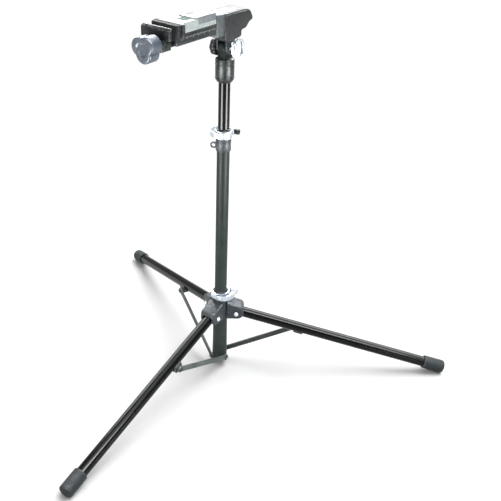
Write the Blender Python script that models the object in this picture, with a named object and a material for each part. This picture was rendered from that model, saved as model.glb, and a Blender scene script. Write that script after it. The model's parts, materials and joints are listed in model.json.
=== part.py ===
"""Folding bicycle repair stand: a three-leg base, a telescoping mast and a tilting clamp head.

Metres, +Z up.  The floor is z = 0 and the origin is the middle of the stand's footprint.
Directions on the legs: x outward along the leg, y sideways, z square to the leg.
Directions on the head: x along the clamp arm, y sideways, z up, from the tilt axle.
"""

import math

import bmesh
import bpy
from mathutils import Matrix, Vector

GAP = 0.0003  # between pieces that touch
RUN = 0.0003  # radial clearance of a sliding or turning fit

# Legs and feet
LEG_COUNT = 3
LEG_LENGTH = 0.653  # pivot to the foot's end
LEG_SLOPE = math.radians(15.2)
LEG_R = 0.0153
LEG_WALL = 0.0015
LEG_TAIL = 0.009  # tube behind the pivot
INSERT_DOME = 0.003  # insert beyond the tube's tail
FOOT_R = 0.0195
FOOT_LENGTH = 0.0645
FOOT_ROUND = 0.008
FOOT_FLAT = 0.001  # depth of the flat that stands on the floor
FOOT_FLOOR = 0.006
PIVOT_REACH = 0.0305  # leg pivot from the column's wall
BRACKET_REACH = 0.195  # strut pivot along the leg
BRACKET_DROP = 0.0124  # strut pivot below the leg's axis
BRACKET_LENGTH = 0.028
BRACKET_T = 0.0022

# Column, sleeve and hub
COLUMN_R = 0.0175
COLUMN_WALL = 0.0015
COLUMN_LOW = 0.020
COLUMN_TOP = 0.746
SLEEVE_WALL_LOW = 0.0040  # sleeve's wall at its lower end
SLEEVE_WALL_TOP = 0.0028
PLUG_T = 0.007
PLUG_SPIGOT = 0.010
HUB_BUSH_T = 0.0018
HUB_WALL = 0.0053
HUB_NECK_WALL = 0.0025
HUB_RIM_WALL = 0.0013  # bush rim beyond the hub's bore
HUB_RIM_T = 0.004
HUB_DROP = 0.0222  # sleeve's top below the leg pivots
HUB_SHOULDER_RISE = 0.0463  # clamp's seat above the leg pivots
ARM_HALF = 0.024
ARM_FLOOR = 0.0185  # arm below the pivot
ARM_NOSE = 0.022  # arm beyond the pivot
ARM_CROWN = 0.0265  # arm above the pivot, at its nose end
ARM_ROOT = 0.0365  # arm above the pivot, at the column
HOOD_CLEAR = 0.0010  # hood of an arm above its leg
BOLT_R = 0.004
BOLT_HEAD_R = 0.0065
BOLT_HEAD_T = 0.0042

# Struts
STRUT_T = 0.005
STRUT_HALF = 0.0075
STRUT_EYE_R = 0.0095
STRUT_FOOT_X = 0.0037  # inner pivot, out from the column's axis
STRUT_FOOT_Z = 0.0040  # inner pivot above the column's lower end
PIN_R = 0.003
PIN_HEAD_R = 0.0072
PIN_HEAD_T = 0.0034

# Height collar and mast
COLLAR_DROP = 0.055  # collar's lower end below the column's top
COLLAR_LENGTH = 0.037  # lower end to the clamp's seat
COLLAR_WALL = 0.0029
COLLAR_NECK_WALL = 0.0021
COLLAR_RIM_T = 0.004
EYELET_R = 0.0085
EYELET_HOLE_R = 0.0047
EYELET_T = 0.005
EYELET_REACH = 0.0058  # eyelet's middle from the collar's side
EYELET_Z = 0.014  # above the collar's lower end
MAST_FIT = 0.0006  # mast inside the column, all round
MAST_WALL = 0.0015
MAST_LENGTH = 0.7867
MAST_BUSH_T = 0.012
MAST_SPIGOT = 0.020

# Quick-release clamps
CLAMP_TURN = math.radians(-25.0)  # ears stand 65 degrees round from +X
BAND_T = 0.0034
BAND_HEIGHT = 0.0205
EAR_GAP = 0.002
EAR_REACH = 0.0195
EAR_DEPTH = 0.0115
SKEWER_R = 0.0025
CAM_R = 0.0062
CAM_OFFSET = 0.034
NUT_R = 0.0075
NUT_LENGTH = 0.012
LEVER_T = 0.0030
LEVER_HEIGHT = 0.017
LEVER_REST = 0.0010  # closed lever from its band
LEVER_LIFT = 0.0110  # how much further out the lever starts

# Head socket, tilt joint
SOCKET_RISE = 0.133  # socket's lower end above the column's top
SOCKET_LENGTH = 0.060
SOCKET_R = 0.0245
SOCKET_TAPER = 0.008
SOCKET_BORE_DEPTH = 0.038
AXLE_RISE = 0.0265  # tilt axle above the socket
AXLE_R = 0.004
TONGUE_HALF = 0.011
TONGUE_R = 0.016
CHEEK_T = 0.0062
BRIDGE_GAP = 0.004
KNOB_R = 0.0246
KNOB_T = 0.0160
KNOB_LOBES = 8
KNOB_DIP = 0.0016
CAM_LEVER_GAP = 0.0077  # from the fork's side to the lever's blade
CAM_LEVER_W = 0.007
CAM_LEVER_T = 0.0045
CAM_BARREL_R = 0.0036

# Clamp head, measured from the tilt axle
ARM_AZIMUTH = math.radians(236.0)
BODY_FLOOR = 0.0448
BODY_TOP = 0.0930
BODY_FRONT = 0.0380
BODY_BACK = -0.0780
BODY_HALF = 0.0257
PLATE_T = 0.002
SKIRT_FLOOR = 0.0225
FRONT_LENGTH = 0.0300
FRONT_HALF = 0.0260
RAIL_FLOOR = 0.0505
RAIL_TOP = 0.0755
RAIL_HALF = 0.0250
RAIL_END = 0.2130
RAIL_WALL = 0.0100
RAIL_ROOF = 0.0070
JAW_TOP = 0.1005
JAW_STEP_Z = 0.0865
JAW_STEP_X = 0.1330
COVER_TOP = 0.1035
COVER_LIP = 0.1600
COVER_LIP_T = 0.0027
RECESS_X = 0.1480
RECESS_LENGTH = 0.0220
RECESS_HALF = 0.0150
RECESS_DEPTH = 0.0090
PLATE_LENGTH = 0.0100
PLATE_HALF = 0.0430
PLATE_FLOOR = 0.0705
PLATE_TOP = 0.1035
PAD_LENGTH = 0.0137
PAD_HALF = 0.0390
PAD_FLOOR = 0.0665
PAD_TOP = 0.1025
JAW_GAP = 0.0160
OUTER_PAD_T = 0.0047
OUTER_BAR_T = 0.0095
OUTER_FLOOR = 0.0745
OUTER_TOP = 0.1015
CARRIAGE_LENGTH = 0.0335
CARRIAGE_HALF = 0.0220
CARRIAGE_FLOOR = 0.0460
TONGUE_BACK = 0.0700  # carriage tongue inside the rail
SCREW_Z = 0.0585
SCREW_R = 0.005
SCREW_BACK = 0.0800
GRIP_GAP = 0.0060
GRIP_LENGTH = 0.0340
GRIP_R = 0.0335
GRIP_VALLEY = 0.0245
GRIP_NECK_R = 0.0130

FINE = 40
MEDIUM = 28
COARSE = 18
LONG = 1.0  # a cutter that passes right through

# Sizes and places that follow from the ones above
PIVOT_RADIUS = COLUMN_R + PIVOT_REACH
HOOD_EDGE = (LEG_R + HOOD_CLEAR) / math.cos(LEG_SLOPE) - 2 * ARM_NOSE * math.tan(LEG_SLOPE)
PIVOT_Z = (
    (LEG_LENGTH - FOOT_ROUND) * math.sin(LEG_SLOPE)
    + (FOOT_R - FOOT_ROUND) * math.cos(LEG_SLOPE)
    + FOOT_ROUND
    - FOOT_FLAT
)
RING_RADIUS = PIVOT_RADIUS + (LEG_LENGTH - FOOT_ROUND) * math.cos(LEG_SLOPE)
FRONT_EDGE = RING_RADIUS + (FOOT_R - FOOT_ROUND) * math.sin(LEG_SLOPE) + FOOT_ROUND
BACK_EDGE = (
    0.5 * RING_RADIUS
    + (FOOT_R - FOOT_ROUND) * math.hypot(0.5 * math.sin(LEG_SLOPE), math.sqrt(0.75))
    + FOOT_ROUND
)
COLUMN_X = -(FRONT_EDGE - BACK_EDGE) / 2
SLEEVE_R_LOW = COLUMN_R + RUN + SLEEVE_WALL_LOW
SLEEVE_R_TOP = COLUMN_R + RUN + SLEEVE_WALL_TOP
SLEEVE_TOP = PIVOT_Z - HUB_DROP
STRUT_IN = SLEEVE_R_LOW + GAP  # strut's inner face, sideways from the column's axis
BRACKET_OUT = STRUT_IN - 2 * GAP
HUB_BORE = COLUMN_R + RUN + HUB_BUSH_T + GAP
HUB_R = HUB_BORE + HUB_WALL
HUB_NECK_R = HUB_BORE + HUB_NECK_WALL
HUB_RIM_R = HUB_BORE + HUB_RIM_WALL
HUB_LOW = SLEEVE_TOP + GAP
HUB_SHOULDER = PIVOT_Z + HUB_SHOULDER_RISE
HUB_TOP = HUB_SHOULDER + GAP + BAND_HEIGHT
COLLAR_LOW = COLUMN_TOP - COLLAR_DROP
COLLAR_SHOULDER = COLLAR_LOW + COLLAR_LENGTH
COLLAR_R = COLUMN_R + RUN + COLLAR_WALL
COLLAR_NECK_R = COLUMN_R + RUN + COLLAR_NECK_WALL
EYELET_X = -(COLLAR_R + EYELET_REACH)
MAST_R = COLUMN_R - COLUMN_WALL - MAST_FIT
SOCKET_LOW = COLUMN_TOP + SOCKET_RISE
SOCKET_TOP = SOCKET_LOW + SOCKET_LENGTH
MAST_TOP = SOCKET_LOW + SOCKET_BORE_DEPTH - GAP
MAST_LOW = MAST_TOP - MAST_LENGTH
AXLE_Z = SOCKET_TOP + AXLE_RISE
COLLAR_NECK_TOP = COLLAR_SHOULDER + GAP + BAND_HEIGHT
FORK_HALF = TONGUE_HALF + GAP + CHEEK_T
STRUT_FOOT = Vector((STRUT_FOOT_X, 0, COLUMN_LOW + STRUT_FOOT_Z))
STRUT_HEAD = Vector(
    (
        PIVOT_RADIUS + BRACKET_REACH * math.cos(LEG_SLOPE) - BRACKET_DROP * math.sin(LEG_SLOPE),
        0,
        PIVOT_Z - BRACKET_REACH * math.sin(LEG_SLOPE) - BRACKET_DROP * math.cos(LEG_SLOPE),
    )
)
STRUT_LENGTH = (STRUT_HEAD - STRUT_FOOT).length
STRUT_SLOPE = math.atan2(STRUT_HEAD.z - STRUT_FOOT.z, STRUT_HEAD.x - STRUT_FOOT.x)
RAIL_START = BODY_FRONT + GAP + FRONT_LENGTH + GAP
INNER_PAD_END = RAIL_END + GAP + PAD_LENGTH
OUTER_PAD_X = INNER_PAD_END + JAW_GAP
OUTER_BAR_X = OUTER_PAD_X + OUTER_PAD_T + GAP
CARRIAGE_X = INNER_PAD_END + 0.0015
CARRIAGE_END = CARRIAGE_X + CARRIAGE_LENGTH
GRIP_X = CARRIAGE_END + GRIP_GAP

# name: colour, roughness, metallic
FINISHES = {
    "black_tube": ((0.012, 0.013, 0.014), 0.22, 0.6),
    "grey_tube": ((0.060, 0.068, 0.066), 0.55, 0.2),
    "casting": ((0.120, 0.145, 0.165), 0.55, 0.1),
    "black_plastic": ((0.012, 0.014, 0.016), 0.45, 0.0),
    "rubber": ((0.015, 0.015, 0.016), 0.80, 0.0),
    "steel": ((0.200, 0.200, 0.200), 0.40, 0.9),
    "bright": ((0.720, 0.740, 0.760), 0.25, 0.9),
    "white_jaw": ((0.800, 0.830, 0.820), 0.35, 0.1),
}


def material(finish):
    """Returns the Principled material of a finish, made once."""
    made = bpy.data.materials.get(finish)
    if made:
        return made
    colour, roughness, metallic = FINISHES[finish]
    made = bpy.data.materials.new(finish)
    made.use_nodes = True
    shader = made.node_tree.nodes["Principled BSDF"]
    shader.inputs["Base Color"].default_value = (*colour, 1)
    shader.inputs["Roughness"].default_value = roughness
    shader.inputs["Metallic"].default_value = metallic
    made.diffuse_color = (*colour, 1)
    return made


def place(name, parent=None, at=(0, 0, 0), turn=None):
    """An empty that carries a group of pieces; turn is a 4x4 rotation."""
    empty = bpy.data.objects.new(name, None)
    bpy.context.collection.objects.link(empty)
    empty.parent = parent
    empty.matrix_local = Matrix.Translation(at) @ (turn or Matrix())
    return empty


def solid(name, points, faces, parent, finish="steel"):
    """A mesh object with its faces turned outward."""
    mesh = bpy.data.meshes.new(name)
    mesh.from_pydata(points, [], faces)
    work = bmesh.new()
    work.from_mesh(mesh)
    bmesh.ops.recalc_face_normals(work, faces=work.faces)
    work.to_mesh(mesh)
    work.free()
    mesh.materials.append(material(finish))
    mesh.shade_smooth()
    mesh.set_sharp_from_angle(angle=math.radians(35))
    made = bpy.data.objects.new(name, mesh)
    bpy.context.collection.objects.link(made)
    made.parent = parent
    return made


def onto(axis, a, b, h):
    """The point with outline coordinates a, b at height h along the axis."""
    return {"Z": (a, b, h), "Y": (a, h, b), "X": (h, a, b)}[axis]


def prism(name, outline, low, high, parent, finish="steel", axis="Z"):
    """An outline carried straight along an axis from low to high."""
    count = len(outline)
    points = [onto(axis, a, b, h) for h in (low, high) for a, b in outline]
    sides = [(i, (i + 1) % count, (i + 1) % count + count, i + count) for i in range(count)]
    caps = [tuple(range(count)), tuple(range(count, 2 * count))]
    return solid(name, points, sides + caps, parent, finish)


def box(name, low, high, parent, finish="steel"):
    """A block between two corners."""
    outline = [(low[0], low[1]), (high[0], low[1]), (high[0], high[1]), (low[0], high[1])]
    return prism(name, outline, low[2], high[2], parent, finish)


def turned(name, profile, parent, finish="steel", axis="Z", sides=MEDIUM, shift=(0, 0)):
    """A closed loop of (radius, height) points turned about an axis; radius 0 closes it there."""
    points = []
    rings = []
    for radius, height in profile:
        if radius == 0:
            rings.append([len(points)] * sides)
            points.append(onto(axis, shift[0], shift[1], height))
            continue
        rings.append(list(range(len(points), len(points) + sides)))
        for step in range(sides):
            angle = 2 * math.pi * step / sides
            a = shift[0] + radius * math.cos(angle)
            b = shift[1] + radius * math.sin(angle)
            points.append(onto(axis, a, b, height))
    faces = []
    for ring, following in zip(rings, rings[1:] + rings[:1]):
        if ring[0] == ring[1] and following[0] == following[1]:
            continue
        for i in range(sides):
            j = (i + 1) % sides
            corners = (ring[i], ring[j], following[j], following[i])
            faces.append(tuple(dict.fromkeys(corners)))
    return solid(name, points, faces, parent, finish)


def rod(name, radius, low, high, parent, finish="steel", axis="Z", sides=COARSE, shift=(0, 0)):
    """A plain round bar."""
    profile = [(0, low), (radius, low), (radius, high), (0, high)]
    return turned(name, profile, parent, finish, axis, sides, shift)


def tube(name, outer, inner, low, high, parent, finish="steel", axis="Z", sides=FINE, shift=(0, 0)):
    """A round tube, open at both ends."""
    profile = [(outer, low), (outer, high), (inner, high), (inner, low)]
    return turned(name, profile, parent, finish, axis, sides, shift)


def arc(x, y, radius, start, end, steps):
    """Points on an arc, angles in degrees."""
    span = [math.radians(start + (end - start) * i / steps) for i in range(steps + 1)]
    return [(x + radius * math.cos(a), y + radius * math.sin(a)) for a in span]


def combine(piece, tool, operation):
    """Joins a tool to a piece, cuts it away or keeps only what both hold."""
    modifier = piece.modifiers.new(operation.lower(), "BOOLEAN")
    modifier.operation = operation
    modifier.object = tool
    tool.hide_render = True
    tool.display_type = "WIRE"
    return piece


def cut(piece, *tools):
    """Takes each tool's shape out of the piece."""
    for tool in tools:
        combine(piece, tool, "DIFFERENCE")
    return piece


def join(piece, *tools):
    """Adds each tool's shape to the piece."""
    for tool in tools:
        combine(piece, tool, "UNION")
    return piece


def soften(piece, width, segments=2):
    """Rounds the piece's sharp edges."""
    modifier = piece.modifiers.new("soften", "BEVEL")
    modifier.width = width
    modifier.segments = segments
    modifier.limit_method = "ANGLE"
    modifier.angle_limit = math.radians(40)
    return piece


def strip(name, path, thickness, low, high, parent, finish):
    """A blade: a line of plan points given a thickness and a height."""
    left = []
    right = []
    for i, point in enumerate(path):
        before = Vector(path[max(i - 1, 0)])
        after = Vector(path[min(i + 1, len(path) - 1)])
        along = (after - before).normalized()
        side = Vector((-along.y, along.x)) * thickness / 2
        left.append(tuple(Vector(point) + side))
        right.append(tuple(Vector(point) - side))
    return prism(name, left + right[::-1], low, high, parent, finish)


def build_base(stand):
    """Column, sleeve and end plug, with the three bolts that hold the struts."""
    base = place("base", stand)
    inner = COLUMN_R - COLUMN_WALL
    tube("lower_column", COLUMN_R, inner, COLUMN_LOW, COLUMN_TOP, base, "grey_tube")
    bore = COLUMN_R + RUN
    chamfer = 0.0008
    sleeve = turned(
        "base_sleeve",
        [
            (bore, COLUMN_LOW),
            (SLEEVE_R_LOW - chamfer, COLUMN_LOW),
            (SLEEVE_R_LOW, COLUMN_LOW + chamfer),
            (SLEEVE_R_TOP, SLEEVE_TOP - chamfer),
            (SLEEVE_R_TOP - chamfer, SLEEVE_TOP),
            (bore, SLEEVE_TOP),
        ],
        base,
        "grey_tube",
        sides=FINE,
    )
    top = COLUMN_LOW - GAP
    spigot = inner - RUN
    turned(
        "base_end_plug",
        [
            (0, top - PLUG_T),
            (COLUMN_R - chamfer, top - PLUG_T),
            (SLEEVE_R_LOW - chamfer, top - PLUG_T / 2),
            (SLEEVE_R_LOW - chamfer, top),
            (spigot, top),
            (spigot, top + PLUG_SPIGOT),
            (0, top + PLUG_SPIGOT),
        ],
        base,
        "black_plastic",
    )
    outer = STRUT_IN + STRUT_T + GAP
    for number, turn in leg_turns():
        side = place(f"strut_foot_{number}", base, turn=turn)
        at = (STRUT_FOOT.x, STRUT_FOOT.z)
        hole = rod(f"strut_foot_hole_{number}", PIN_R + RUN, 0, LONG, side, axis="Y", shift=at)
        cut(sleeve, hole)
        pin(f"strut_inner_bolt_{number}", bore + GAP, outer, side, at)
    return base


def leg_turns():
    """Yields each leg's number and the turn that points it outward."""
    for index in range(LEG_COUNT):
        angle = 2 * math.pi * (index - 1) / LEG_COUNT
        yield index + 1, Matrix.Rotation(angle, 4, "Z")


def pin(name, low, shoulder, parent, at):
    """A bolt with a domed head, its shank running sideways from low to its head."""
    crown = shoulder + PIN_HEAD_T
    turned(
        name,
        [
            (0, low),
            (PIN_R, low),
            (PIN_R, shoulder),
            (PIN_HEAD_R, shoulder),
            (PIN_HEAD_R, shoulder + PIN_HEAD_T / 2),
            (PIN_HEAD_R * 0.7, crown),
            (0, crown),
        ],
        parent,
        "steel",
        "Y",
        COARSE,
        at,
    )


def build_hub(stand):
    """The sliding hub: casting, bush, bolts and its clamp."""
    hub = place("hub", stand)
    casting = turned(
        "hub_casting",
        [
            (0, HUB_LOW),
            (HUB_R - 0.001, HUB_LOW),
            (HUB_R, HUB_LOW + 0.001),
            (HUB_R, HUB_SHOULDER - 0.002),
            (HUB_R - 0.001, HUB_SHOULDER),
            (HUB_NECK_R, HUB_SHOULDER),
            (HUB_NECK_R, HUB_TOP),
            (0, HUB_TOP),
        ],
        hub,
        "casting",
        sides=FINE,
    )
    arms = []
    tools = []
    for number, turn in leg_turns():
        at = place(f"hub_arm_{number}", hub, at=(0, 0, PIVOT_Z), turn=turn)
        outline = [
            (HUB_BORE, -ARM_FLOOR),
            (PIVOT_RADIUS + 0.3 * ARM_NOSE, -ARM_FLOOR),
            (PIVOT_RADIUS + 0.82 * ARM_NOSE, -0.6 * ARM_FLOOR),
            (PIVOT_RADIUS + ARM_NOSE, 0.002),
            (PIVOT_RADIUS + 0.82 * ARM_NOSE, 0.7 * ARM_CROWN),
            (PIVOT_RADIUS + 0.3 * ARM_NOSE, ARM_CROWN),
            (HUB_BORE, ARM_ROOT),
        ]
        arm = prism(f"hub_arm_block_{number}", outline, -ARM_HALF, ARM_HALF, at, axis="Y")
        arms.append(soften(arm, 0.004))
        half = LEG_R + 2 * RUN
        swing = math.hypot(LEG_TAIL + GAP + INSERT_DOME, LEG_R) + 2 * RUN
        back = PIVOT_RADIUS - swing
        outline = [(back, -2 * ARM_FLOOR), (back, 0)]
        outline += arc(PIVOT_RADIUS, 0, swing, 170, 40, 12)
        outline += [
            (PIVOT_RADIUS + 2 * ARM_NOSE, HOOD_EDGE),
            (PIVOT_RADIUS + 2 * ARM_NOSE, -2 * ARM_FLOOR),
        ]
        tools.append(prism(f"hub_slot_{number}", outline, -half, half, at, axis="Y"))
        tools.append(
            rod(
                f"hub_bolt_hole_{number}",
                BOLT_R + RUN,
                -2 * ARM_HALF,
                2 * ARM_HALF,
                at,
                axis="Y",
                shift=(PIVOT_RADIUS, 0),
            )
        )
        face = ARM_HALF + GAP
        crown = face + BOLT_HEAD_T
        turned(
            f"hub_bolt_{number}",
            [
                (0, -crown),
                (BOLT_HEAD_R * 0.8, -crown),
                (BOLT_HEAD_R, -face - BOLT_HEAD_T / 2),
                (BOLT_HEAD_R, -face),
                (BOLT_R, -face),
                (BOLT_R, face),
                (BOLT_HEAD_R, face),
                (BOLT_HEAD_R, face + BOLT_HEAD_T / 2),
                (BOLT_HEAD_R * 0.8, crown),
                (0, crown),
            ],
            at,
            "bright",
            "Y",
            COARSE,
            (PIVOT_RADIUS, 0),
        )
    join(casting, *arms)
    bore = rod("hub_bore", HUB_BORE, 0, LONG, hub, sides=FINE)
    cut(casting, bore, *tools)
    rim = HUB_TOP + GAP
    inner = COLUMN_R + RUN
    turned(
        "hub_bush",
        [
            (inner, HUB_LOW),
            (inner + HUB_BUSH_T, HUB_LOW),
            (inner + HUB_BUSH_T, rim),
            (HUB_RIM_R, rim),
            (HUB_RIM_R, rim + HUB_RIM_T / 2),
            (inner + HUB_BUSH_T, rim + HUB_RIM_T),
            (inner, rim + HUB_RIM_T),
        ],
        hub,
        "black_plastic",
        sides=FINE,
    )
    middle = HUB_SHOULDER + GAP + BAND_HEIGHT / 2
    clamp = place("hub_clamp", hub, at=(0, 0, middle), turn=Matrix.Rotation(CLAMP_TURN, 4, "Z"))
    slit = build_clamp("hub", clamp, HUB_NECK_R + GAP, 1)
    cut(casting, slit)
    return hub


def build_clamp(name, clamp, bore, side):
    """A split band closed by a quick release; side says at which end of the skewer its cam is.

    The band's ears stand at +y with the skewer along x through them.  Returns the slit.
    """
    half = BAND_HEIGHT / 2
    outer = bore + BAND_T
    band = tube(f"{name}_band", outer, bore, -half, half, clamp, "bright")
    middle = outer + EAR_DEPTH / 2 - 0.0015
    root = bore + BAND_T / 2
    end = middle + EAR_DEPTH / 2
    tall = half - 0.001
    ears = box(f"{name}_ears", (-EAR_REACH, root, -tall), (EAR_REACH, end, tall), clamp)
    soften(ears, 0.002)
    join(band, ears)
    slit = box(f"{name}_slit", (-EAR_GAP, 0, -half - 0.001), (EAR_GAP, LONG, LONG), clamp)
    hollow = rod(f"{name}_band_bore", bore, -LONG, LONG, clamp, sides=FINE)
    through = rod(
        f"{name}_skewer_hole", SKEWER_R + RUN, -LONG, LONG, clamp, axis="X", shift=(middle, 0)
    )
    cut(band, hollow, slit, through)

    barrel = side * CAM_OFFSET
    near = barrel - side * (CAM_R + GAP)
    far = -side * (EAR_REACH + GAP + NUT_LENGTH - 0.003)
    rod(
        f"{name}_skewer",
        SKEWER_R,
        min(near, far),
        max(near, far),
        clamp,
        "steel",
        "X",
        COARSE,
        (middle, 0),
    )
    inner_end = -side * (EAR_REACH + GAP)
    outer_end = -side * (EAR_REACH + GAP + NUT_LENGTH)
    nut = turned(
        f"{name}_nut",
        [
            (0, inner_end),
            (NUT_R, inner_end),
            (NUT_R, outer_end + side * 0.002),
            (NUT_R - 0.002, outer_end),
            (0, outer_end),
        ],
        clamp,
        "black_plastic",
        "X",
        COARSE,
        (middle, 0),
    )
    socket = rod(
        f"{name}_nut_bore",
        SKEWER_R + RUN,
        min(inner_end, far) - 0.001,
        max(inner_end, far) + 0.001,
        clamp,
        axis="X",
        shift=(middle, 0),
    )
    cut(nut, socket)

    pivot = place(f"{name}_lever_pivot", clamp, at=(barrel, middle, 0))
    tall = LEVER_HEIGHT / 2
    head = rod(f"{name}_lever", CAM_R, -tall, tall, pivot, "bright", sides=MEDIUM)
    path = lever_path(barrel, middle, outer, side)
    blade = strip(f"{name}_lever_blade", path, LEVER_T, -tall, tall, pivot, "bright")
    join(head, soften(blade, 0.001, 1))
    return slit


def lever_path(barrel, middle, band_r, side):
    """Plan points of a lever blade, from its cam round the front of the band."""
    hug = band_r + LEVER_T / 2 + LEVER_REST
    wide = hug + LEVER_LIFT
    path = []
    steps = 14
    for step in range(steps + 1):
        share = step / steps
        angle = math.radians(18 - 178 * share) if side > 0 else math.radians(162 + 178 * share)
        radius = wide + (hug - wide) * min(1, share * 1.5) ** 1.3
        path.append((radius * math.cos(angle) - barrel, radius * math.sin(angle) - middle))
    start = (side * CAM_R * 0.3, 0)
    return [start] + path[: steps - 1]


def build_collar(base):
    """The collar that holds the mast at its height, with its bush and clamp."""
    collar = place("collar", base)
    bore = COLUMN_R + RUN
    body = turned(
        "collar_body",
        [
            (0, COLLAR_LOW),
            (COLLAR_R - 0.001, COLLAR_LOW),
            (COLLAR_R, COLLAR_LOW + 0.002),
            (COLLAR_R, COLLAR_SHOULDER - 0.001),
            (COLLAR_R - 0.0005, COLLAR_SHOULDER),
            (COLLAR_NECK_R, COLLAR_SHOULDER),
            (COLLAR_NECK_R, COLLAR_NECK_TOP),
            (0, COLLAR_NECK_TOP),
        ],
        collar,
        "casting",
        sides=FINE,
    )
    at = (EYELET_X, COLLAR_LOW + EYELET_Z)
    outline = arc(at[0], at[1], EYELET_R, 90, 270, 12)
    root = -bore - COLLAR_WALL / 2
    outline += [(root, at[1] - EYELET_R), (root, at[1] + EYELET_R)]
    loop = prism("collar_eyelet", outline, -EYELET_T / 2, EYELET_T / 2, collar, axis="Y")
    hole = rod(
        "collar_eyelet_hole", EYELET_HOLE_R, -EYELET_T, EYELET_T, collar, axis="Y", shift=at
    )
    cut(loop, hole)
    bore_tool = rod("collar_bore", bore, 0, LONG, collar, sides=FINE)
    join(body, loop)
    rim = COLLAR_NECK_TOP + GAP
    turned(
        "collar_bush",
        [
            (MAST_R + RUN, rim),
            (COLLAR_NECK_R, rim),
            (COLLAR_NECK_R, rim + COLLAR_RIM_T / 2),
            (MAST_R + RUN + 0.001, rim + COLLAR_RIM_T),
            (MAST_R + RUN, rim + COLLAR_RIM_T),
        ],
        collar,
        "black_plastic",
        sides=FINE,
    )
    middle = COLLAR_SHOULDER + GAP + BAND_HEIGHT / 2
    clamp = place("collar_clamp", collar, at=(0, 0, middle), turn=Matrix.Rotation(CLAMP_TURN, 4, "Z"))
    slit = build_clamp("collar", clamp, COLLAR_NECK_R + GAP, -1)
    cut(body, slit, bore_tool)


def build_leg(stand, number, turn):
    """A leg tube with its insert, foot and strut bracket."""
    slope = Matrix.Rotation(LEG_SLOPE, 4, "Y")
    at = turn @ Vector((PIVOT_RADIUS, 0, PIVOT_Z))
    leg = place(f"leg_{number}", stand, at=at, turn=turn @ slope)
    inner = LEG_R - LEG_WALL
    end = LEG_LENGTH - FOOT_FLOOR - GAP
    leg_tube = tube(
        f"leg_tube_{number}", LEG_R, inner, -LEG_TAIL, end, leg, "black_tube", "X", 32
    )
    hole = rod(f"leg_hole_{number}", BOLT_R + RUN, -LONG, LONG, leg, axis="Y")
    cut(leg_tube, hole)
    tail = -LEG_TAIL - GAP
    insert = turned(
        f"leg_insert_{number}",
        [
            (0, tail - INSERT_DOME),
            (LEG_R - INSERT_DOME, tail - INSERT_DOME),
            (LEG_R, tail),
            (inner - RUN, tail),
            (inner - RUN, 2 * LEG_TAIL),
            (0, 2 * LEG_TAIL),
        ],
        leg,
        "black_plastic",
        "X",
        COARSE,
    )
    cut(insert, hole)
    mouth = LEG_LENGTH - FOOT_LENGTH
    bore = LEG_R + RUN
    rounding = arc(LEG_LENGTH - FOOT_ROUND, FOOT_R - FOOT_ROUND, FOOT_ROUND, 90, 0, 4)
    profile = [(bore, mouth), (FOOT_R - 0.001, mouth), (FOOT_R, mouth + 0.001)]
    profile += [(r, x) for x, r in rounding]
    profile += [(0, LEG_LENGTH), (0, LEG_LENGTH - FOOT_FLOOR), (bore, LEG_LENGTH - FOOT_FLOOR)]
    foot = turned(f"leg_foot_{number}", profile, leg, "rubber", "X", 32)
    reach = 2 * (PIVOT_RADIUS + LEG_LENGTH)
    floor = box(f"floor_cut_{number}", (-reach, -reach, -FOOT_R), (reach, reach, 0), stand)
    cut(foot, floor)
    build_bracket(leg, number)


def build_bracket(leg, number):
    """The saddle under a leg that carries the strut's outer pivot."""
    half = BRACKET_LENGTH / 2
    low = -LEG_R - GAP - BRACKET_T
    wing = LEG_R + GAP
    bracket = box(
        f"leg_bracket_{number}",
        (BRACKET_REACH - half, -0.6 * LEG_R, low),
        (BRACKET_REACH + half, BRACKET_OUT, 0.002),
        leg,
        "casting",
    )
    soften(bracket, 0.0015)
    boss = rod(
        f"bracket_boss_{number}",
        STRUT_EYE_R - 0.001,
        wing + 0.001,
        BRACKET_OUT,
        leg,
        axis="Y",
        sides=MEDIUM,
        shift=(BRACKET_REACH, -BRACKET_DROP),
    )
    seat = rod(f"bracket_seat_{number}", LEG_R + GAP, 0, LEG_LENGTH, leg, axis="X", sides=32)
    join(bracket, boss)
    cut(bracket, seat)


def build_strut(stand, number, turn):
    """A flat strut from the sleeve to the leg, with the bolt at its outer end."""
    tilt = Matrix.Rotation(-STRUT_SLOPE, 4, "Y")
    strut = place(f"strut_{number}", stand, at=turn @ STRUT_FOOT, turn=turn @ tilt)
    spread = math.degrees(math.asin(STRUT_HALF / STRUT_EYE_R))
    outline = arc(0, 0, STRUT_EYE_R, spread, 360 - spread, 12)
    outline += arc(STRUT_LENGTH, 0, STRUT_EYE_R, spread - 180, 180 - spread, 12)
    out = STRUT_IN + STRUT_T
    bar = prism(f"strut_bar_{number}", outline, STRUT_IN, out, strut, "steel", "Y")
    for end, along in (("foot", 0), ("head", STRUT_LENGTH)):
        hole = rod(
            f"strut_{end}_eye_{number}", PIN_R + RUN, 0, LONG, strut, axis="Y", shift=(along, 0)
        )
        cut(bar, hole)
    pin(f"strut_outer_bolt_{number}", STRUT_IN, out + GAP, strut, (STRUT_LENGTH, 0))


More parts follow.
